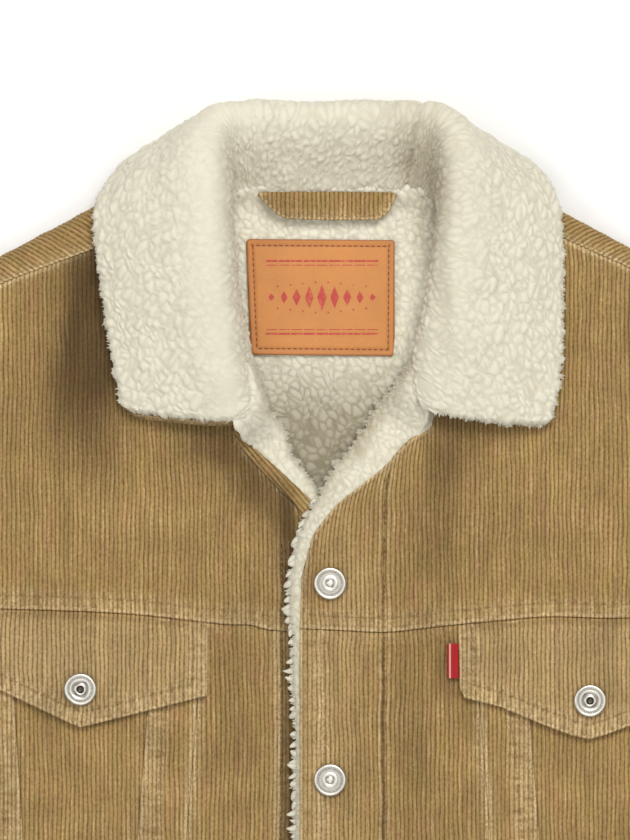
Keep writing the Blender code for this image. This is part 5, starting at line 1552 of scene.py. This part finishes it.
lock = {"apart": 4.4, "long": 4.2, "wide": 1.9, "towards": (-0.9, -0.3, -0.1), "start": (1.0, 0.0, -0.6)}
fringe = onPile(spaced([p for p in pileInner if p[1] < -150.0], 1.0), overPoints, overGap)
fringe = alongEdge(fringe + lock["start"], lock["apart"], 31)
lockMesh("front_locks", fringe, np.array(lock["towards"]), lock["long"], lock["wide"], 32)

atEdge = np.minimum(outerGap, endGap).ravel() < 3.5
away = out * (outerGap < endGap)[:, :, None] + way * (toEnd * (endGap <= outerGap))[:, :, None]
away = away.reshape(-1, 3)[atEdge] * 0.8
tuftMesh("collar_edge_tufts", collarPoints[atEdge], flatNormals[atEdge], 2600, 0.8, 3, sherpa, away)
tuftMesh("collar_tufts", collarPoints, flatNormals, 1500, 0.7, 8, sherpa)
for name, points, gap, count, reach in (("front", overPoints, overGap, 1500, (-0.9, -0.2, 0.0)),
                                        ("neck", underPoints, underGap, 500, (0.8, 0.5, 0.0))):
    spots = points[(gap < 2.5) & (points[:, 1] > garment["framedLow"])]
    reach = np.tile(reach, (len(spots), 1))
    tuftMesh(name + "_tufts", spots, upward(len(spots)), count, 0.8, 4, sherpa, reach)
spots = liningPoints[liningPoints[:, 1] > -90.0]
tuftMesh("lining_tufts", spots, upward(len(spots)), 600, 0.7, 6, sherpaLining)


print("sewing on the flaps, loop, tab and patch")


def makeLeather(name):
    # vegetable tanned leather with a pigmented finish: fine grain, a low sheen and burnished edges
    material, tree, shader = newMaterial(name, {
        "Roughness": 0.55, "Specular IOR Level": 0.4, "Coat Weight": 0.05, "Coat Roughness": 0.4})
    where = addNode(tree, "TexCoord", output="Object")
    edge = addNode(tree, "Attribute", output="Fac", attribute_name="edge")
    grain = addNode(tree, "TexVoronoi", {"Vector": where, "Scale": 1400.0}, "Distance")  # 0.7 mm
    mottle, cloud = (  # 17 mm and 55 mm
        addNode(tree, "TexNoise", {"Vector": where, "Scale": scale, "Detail": fine, "Roughness": rough}, "Fac")
        for scale, fine, rough in ((60.0, 4.0, 0.6), (18.0, 2.0, 0.5)))
    base = addNode(tree, "Mix", {"Factor": edge, "A": linear("#c3803f"), "B": linear("#985628")}, **mixed)
    dress(tree, shader, varied(tree, base, (mottle, 0.3), (cloud, 0.25), (grain, 0.12)), grain, 0.25, 0.0002)
    return material


def makePrint(name, colour):
    # screen printed ink on leather, a little worn
    material, tree, shader = newMaterial(name, {"Roughness": 0.6, "Specular IOR Level": 0.35})
    where = addNode(tree, "TexCoord", output="Object")
    worn = addNode(tree, "TexNoise", {"Vector": where, "Scale": 380.0, "Detail": 3.0}, "Fac")
    blend = addNode(tree, "MapRange", {"Value": worn, "From Min": 0.5, "From Max": 0.72, "To Max": 0.6})
    base = addNode(tree, "Mix", {"Factor": blend, "A": linear(colour), "B": linear("#c9844e")}, **mixed)
    dress(tree, shader, base)
    return material


def makeRibbon(name, colour, stripe):
    # woven satin ribbon: fine cross ribs of weft, 0.35 mm apart
    material, tree, shader = newMaterial(name, {"Roughness": 0.6, "Specular IOR Level": 0.3})
    cutAt = addNode(tree, "Attribute", output="Vector", attribute_name="cut")
    line = addNode(tree, "Attribute", output="Fac", attribute_name="stripe")
    ribs = addNode(tree, "TexWave", {"Vector": cutAt, "Scale": 0.9, "Distortion": 0.4}, "Fac",
                   bands_direction="Y")
    base = addNode(tree, "Mix", {"Factor": line, "A": linear(colour), "B": linear(stripe)}, **mixed)
    dress(tree, shader, varied(tree, base, (ribs, 0.3)), ribs, 0.4, 0.0002)
    return material


def makePewter(name):
    # cast zinc with an antique nickel plating: bright on the high rims, dark in the hollows
    material, tree, shader = newMaterial(name, {"Metallic": 1.0})
    where = addNode(tree, "TexCoord", output="Object")
    low = addNode(tree, "Attribute", output="Fac", attribute_name="hollow")
    tarnish = addNode(tree, "TexNoise", {"Vector": where, "Scale": 420.0, "Detail": 4.0}, "Fac")
    base = addNode(tree, "Mix", {"Factor": low, "A": linear("#d2cdc2"), "B": linear("#544d44")}, **mixed)
    dress(tree, shader, varied(tree, base, (tarnish, 0.3)), tarnish, 0.15, 0.0002)
    rough = addNode(tree, "MapRange", {"Value": tarnish, "To Min": 0.26, "To Max": 0.48})
    tree.links.new(rough, shader.inputs["Roughness"])
    return material


leather = makeLeather("tannedLeather")
redInk = makePrint("redInk", "#b5413a")
ribbon = makeRibbon("redRibbon", "#a30f18", "#e0cbb4")
pewter = makePewter("platedZinc")
brownThread = makeThread("brownThread", "#7d3f17")

flap = {
    "lift": 5.1,
    "sink": 6.6,  # how far its top goes down under the yoke, and over what length
    "reach": 4.6,
    "rim": 3.6,
    "pale": 0.13,  # lighter than the cloth round it
}
for side in (-1, 1):
    # its top follows the chest seam and goes in under the yoke
    top = [(x, y + 0.8) for x, y in chestBetween(side, flapOutline[side][0][0], flapOutline[side][1][0])]
    outline = top + flapOutline[side][2:]
    lower = top[-1:] + flapOutline[side][2:] + top[:1]
    laid = underYoke(side, flap["lift"], flap["sink"], flap["reach"])
    clothPanel("pocket_flap_" + sideNames[side], outline, laid, pale=flap["pale"], rim=flap["rim"],
               seams=[(lower, "flap")], restsOn=("pocket_panel_" + sideNames[side],),
               rows=np.arange(-300.0, -200.0, 2.2))

loop = {
    "outline": [(-42.6, 0.6), (-37.0, -5.6), (-32.0, -10.2), (-26.8, -12.4), (-4.0, -13.0), (20.5, -12.7),
                (25.6, -9.6), (31.0, 0.4), (28.0, 1.6), (-6.0, 2.0), (-40.0, 1.7)],
    "top": 18.0,  # height of its surface at the neck seam
    "droop": 1.6,
}


def loopPlace(x, y):
    return np.stack([x, y, loop["top"] - loop["droop"] * smooth(-y / 13.0)], axis=1)


clothPanel("hang_loop", loop["outline"], loopPlace, rim=1.8, seams=[(loop["outline"][:8], "stitched")],
           restsOn=("lining_neck",), rows=np.arange(-14.0, 4.0, 1.5), depth=0.9, pale=-0.06)


def trimSheet(outline, place, columns, rows, edgeSteps, thick):
    # a flat trim: where its points are on the flat piece, then its points, faces and rim
    flat, faces = ladder(outline, columns, rows, edgeSteps)
    points = place(flat[:, 0], flat[:, 1])
    return flat, *openRim(points, upward(len(points)), faces, thick)


patch = {
    "corners": [(-48.2, -22.5), (29.6, -23.1), (29.3, -83.6), (-45.7, -82.9)],
    "top": 10.3,
    "rim": 1.3,
    "round": 2.2,
    "step": 0.85,
    "edgeSteps": (0.02, 0.3, 0.7, 1.2),
    "stitchInset": 3.3,
}


def roundedOutline(corners, radius):
    outline = []
    corners = np.array(corners, float)
    for i, corner in enumerate(corners):
        before, after = unit(corners[i - 1] - corner), unit(corners[(i + 1) % len(corners)] - corner)
        for t in np.linspace(0.0, 1.0, 7):
            outline.append(corner + before * radius * (1 - t) ** 2 + after * radius * t**2)
    return np.array(outline)


patchOutline = roundedOutline(patch["corners"], patch["round"])
if signedArea(patchOutline) < 0:
    patchOutline = patchOutline[::-1]


def patchPlace(x, y):
    gap = nearLine(np.stack([x, y], axis=1), patchOutline, closed=True)[0]
    drape = 0.35 * np.sin(x / 17.0 + 0.6) * np.cos(y / 23.0) + 0.25 * np.sin((x - y) / 9.0)
    trough = 0.32 * bell((gap - patch["stitchInset"]) / 0.7)
    return np.stack([x, y, patch["top"] + drape - trough - 0.5 * (1.0 - quarterRound(gap / 0.8))], axis=1)


columns, rows = np.arange(-48.0, 29.5, patch["step"]), np.arange(-84.0, -22.0, patch["step"])
flat, solid, faces, used = trimSheet(patchOutline, patchPlace, columns, rows, patch["edgeSteps"], patch["rim"])
gap = nearLine(flat, patchOutline, closed=True)[0]
edge = np.clip(np.exp(-gap / 0.8) + 0.5 * bell((gap - patch["stitchInset"]) / 0.8), 0.0, 1.0)
edge = np.append(edge, np.ones(len(used)))
patchMesh = makeMesh("neck_patch_leather", solid, faces, leather, {"edge": edge})
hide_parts("neck_patch")
declareCloth(patchOutline)

# a plain printed ornament: a medallion of lozenges between two pairs of rules
ornament = {
    "middle": (-8.6, -53.0),
    "spacing": 6.6,
    "lozenge": (2.5, 7.2),  # half its width and height in the middle
    "smaller": (0.2, 1.25),  # by how much the next one is smaller
    "discs": (8.2, 0.7, 0.8),  # distance from the middle line, how much nearer the next one is, radius
    "rules": [(-34.0, 1.1), (-36.2, 0.5), (-72.0, 1.1), (-69.8, 0.5)],  # y, thickness
    "rulesFrom": -38.0,
    "rulesTo": 21.0,
    "height": 0.06,
}
inkPoints, inkFaces = [], []


def inkShape(corners):
    line = spacedRound(corners, 1.5)
    middle = line.mean(axis=0)
    flat = np.vstack([middle + (line - middle) * share for share in (1.0, 0.66, 0.33)] + [middle[None]])
    first, sides = sum(len(p) for p in inkPoints), len(line)
    inkPoints.append(patchPlace(flat[:, 0], flat[:, 1]) + (0.0, 0.0, ornament["height"]))
    inkFaces.append(np.vstack([ringFaces(3, sides), capFaces(2 * sides, sides, 3 * sides)]) + first)


x, y = ornament["middle"]
start, long = ornament["rulesFrom"], ornament["rulesTo"] - ornament["rulesFrom"]
for ruleY, thick in ornament["rules"]:
    low, high = ruleY - thick / 2, ruleY + thick / 2
    for k in range(9):  # a rule is printed as short bars, so that it follows the leather
        a, b = start + long * k / 9, start + long * (k + 1) / 9
        inkShape([(a, low), (b, low), (b, high), (a, high)])
for k in range(-4, 5):
    wide, tall = (size - less * abs(k) for size, less in zip(ornament["lozenge"], ornament["smaller"]))
    at = x + k * ornament["spacing"]
    inkShape([(at + wide, y), (at, y + tall), (at - wide, y), (at, y - tall)])
for k in range(-4, 4):
    away, nearer, radius = ornament["discs"]
    at = x + (k + 0.5) * ornament["spacing"]
    for up in (away - nearer * abs(k + 0.5), nearer * abs(k + 0.5) - away):
        inkShape([(at + radius * math.cos(math.pi * j / 6), y + up + radius * math.sin(math.pi * j / 6))
                  for j in range(12)])
ink = makeMesh("neck_patch_print", np.vstack(inkPoints), np.vstack(inkFaces), redInk)

tab = {
    "outline": [(56.5, -251.4), (62.8, -251.4), (62.8, -233.3), (56.5, -233.3)],
    "lift": 3.4,
    "rim": 1.1,
    "stripeX": 58.0,
    "stripeHalf": 0.3,
}


def tabPlace(x, y):
    wave = 0.25 * np.sin((y + 233.0) / 4.2)
    tuckedIn = 0.5 * smooth((58.0 - x) / 1.5)
    return frontPlace(True, tab["lift"])(x, y) + (wave - tuckedIn)[:, None] * (0.0, 0.0, 1.0)


flat, solid, faces, used = trimSheet(np.array(tab["outline"]), tabPlace, np.arange(56.6, 62.8, 0.35),
                                     np.arange(-251.4, -233.0, 0.7), (0.02, 0.3, 0.8), tab["rim"])
line = bell((flat[:, 0] - tab["stripeX"]) / tab["stripeHalf"])
tabMesh = makeMesh("flap_tab_ribbon", solid, faces, ribbon, {"stripe": np.append(line, line[used])},
                   np.vstack([flat, flat[used]]))
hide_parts("flap_tab")

print("casting the buttons")
button = {
    "radius": 8.5,
    "sides": 40,
    "beads": 30,
    "beadRing": 0.72,  # radius of the ring of beads as a share
    "beadBase": 2.62,
    "beadRings": ((0.3, 0.3), (0.0, 0.46)),  # height, radius
    "beadTop": 0.42,
    # radius as a share, height, how hollow
    "raised": [(0.0, 3.0, 0.0), (0.07, 3.02, 0.0), (0.14, 2.95, 0.0), (0.19, 2.8, 0.2), (0.22, 2.6, 0.6),
               (0.26, 2.6, 0.6), (0.30, 2.8, 0.2), (0.35, 2.9, 0.0), (0.42, 2.88, 0.0), (0.48, 2.7, 0.4),
               (0.55, 2.66, 0.4), (0.62, 2.68, 0.35)],
    "hollow": [(0.0, 1.2, 1.0), (0.10, 1.2, 1.0), (0.17, 1.3, 1.0), (0.20, 1.9, 0.9), (0.22, 2.6, 0.4),
               (0.25, 2.85, 0.0), (0.31, 2.9, 0.0), (0.36, 2.6, 0.4), (0.42, 2.35, 0.8), (0.50, 2.45, 0.6),
               (0.56, 2.75, 0.1), (0.62, 2.8, 0.1)],
    "border": [(0.68, 2.66, 0.55), (0.76, 2.66, 0.55), (0.82, 2.7, 0.35), (0.86, 2.8, 0.0), (0.92, 2.75, 0.0),
               (0.965, 2.5, 0.0), (0.99, 2.1, 0.1), (1.0, 1.6, 0.2), (0.97, 1.1, 0.5), (0.90, 0.6, 0.8),
               (0.6, 0.3, 1.0)],
}


def ringOf(middle, radius, high, angles):
    points = np.stack([np.cos(angles), np.sin(angles), np.zeros(len(angles))], axis=1) * radius
    return points + middle + (0.0, 0.0, high)


def makeButton(name, turnBy):
    low, high = (np.array(corner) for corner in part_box(name))
    middle = (low + high) / 2 / mm + (0.0, middleY, 0.0)
    middle[2] = low[2] / mm
    profile = button["hollow" if "flap" in name else "raised"] + button["border"]
    sides = button["sides"]
    angles = np.arange(sides) * 2 * math.pi / sides + turnBy
    points = [ringOf(middle, share * button["radius"], high, angles) for share, high, _ in profile[1:]]
    points.append([middle + (0.0, 0.0, profile[0][1])])
    hollow = [np.repeat([deep for _, _, deep in profile[1:]], sides), profile[0][2]]
    total = (len(profile) - 1) * sides
    faces = [ringFaces(len(profile) - 1, sides)[:, ::-1], capFaces(0, sides, total)]
    angles = np.arange(7) * 2 * math.pi / 7
    for k in range(button["beads"]):
        at = 2 * math.pi * (k + 0.5) / button["beads"]
        out = button["beadRing"] * button["radius"]
        centre = middle + (out * math.cos(at), out * math.sin(at), button["beadBase"])
        points.append([centre + (0.0, 0.0, button["beadTop"])])
        points += [ringOf(centre, wide, high, angles) for high, wide in button["beadRings"]]
        hollow += [np.zeros(8), np.full(7, 0.6)]
    bead = np.vstack([capFaces(1, 7, 0), ringFaces(2, 7)[:, ::-1] + 1])
    faces.append(repeated(bead, 15, button["beads"]) + total + 1)
    obj = makeMesh(name + "_metal", np.vstack(points), np.vstack(faces), pewter, {"hollow": np.hstack(hollow)})
    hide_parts(name)


buttonNames = [f"front_button_{k}" for k in range(1, 5)] + ["waistband_button"]
buttonNames += [f"{kind}_button_{name}" for kind in ("flap", "cuff") for name in ("left", "right")]
for k, name in enumerate(buttonNames):
    makeButton(name, k * 0.13)

print("stitching")
# the buttonhole side's long stitch line and the left front's
for side, line in longStitch.items():
    sewLine(line, frontPlace(side == 1), 1, sink=0.7, long=1.6, radius=0.24)
allThreads = makeMesh("thread_tan", np.vstack(threads["points"]), np.vstack(threads["faces"]), tanThread)
patchStitch = beside(np.vstack([patchOutline, patchOutline[:1]]), patch["stitchInset"])
points, faces = stitches(patchStitch, patchPlace, 1, sink=0.15, long=2.3, radius=0.32)
patchThread = makeMesh("thread_brown", points, faces, brownThread)


print("setting the floor, light and camera")
floorMesh = bpy.data.meshes.new("floor")
corners = [(x * 6, y * 6, -0.0005) for x, y in ((-1, -1), (1, -1), (1, 1), (-1, 1))]  # just below the jacket
floorMesh.from_pydata(corners, [], [(0, 1, 2, 3)])
floor = bpy.data.objects.new("floor", floorMesh)
# white card with a matt face
floorMesh.materials.append(newMaterial("matPaper", {"Roughness": 0.9, "Base Color": linear("#f6f5f3")})[0])
bpy.context.scene.collection.objects.link(floor)

lightsSetup = {
    # place, aimed at, size in metres, watts
    "key": ((0.35, 1.25, 2.1), (0.0, 0.12, 0.0), 1.0, 33.5),
    "left": ((-1.5, 0.2, 1.6), (0.0, 0.15, 0.0), 1.6, 11.5),
    "right": ((1.5, 0.1, 1.6), (0.0, 0.15, 0.0), 1.6, 6.0),
    "front": ((0.0, -1.2, 1.8), (0.0, 0.2, 0.0), 1.4, 9.0),
    "top": ((0.0, 0.2, 2.9), (0.0, 0.1, 0.0), 2.2, 12.5),
}
for name, (place, aim, size, watts) in lightsSetup.items():
    lamp = bpy.data.lights.new(name, "AREA")
    lamp.shape, lamp.size, lamp.energy = "DISK", size, watts
    lampObject = bpy.data.objects.new(name, lamp)
    lampObject.location = place
    lampObject.rotation_euler = (Vector(aim) - Vector(place)).to_track_quat("-Z", "Y").to_euler()
    bpy.context.scene.collection.objects.link(lampObject)
world = bpy.data.worlds.new("studio")
world.use_nodes = True
world.node_tree.nodes["Background"].inputs["Color"].default_value = (1.0, 1.0, 1.0, 1.0)
world.node_tree.nodes["Background"].inputs["Strength"].default_value = 0.225
bpy.context.scene.world = world
bpy.context.scene.view_settings.view_transform = "Standard"

view = {"middle": (-0.0122, 0.1784), "height": 3.0, "frameHeight": 0.4368, "clothHeight": 0.021}
lens = bpy.data.cameras.new("camera")
lens.sensor_fit = "VERTICAL"
lens.sensor_height = 36.0
lens.lens = 36.0 * (view["height"] - view["clothHeight"]) / view["frameHeight"]
lens.clip_end = 20.0
camera = bpy.data.objects.new("camera", lens)
camera.location = (*view["middle"], view["height"])
bpy.context.scene.collection.objects.link(camera)
bpy.context.scene.camera = camera
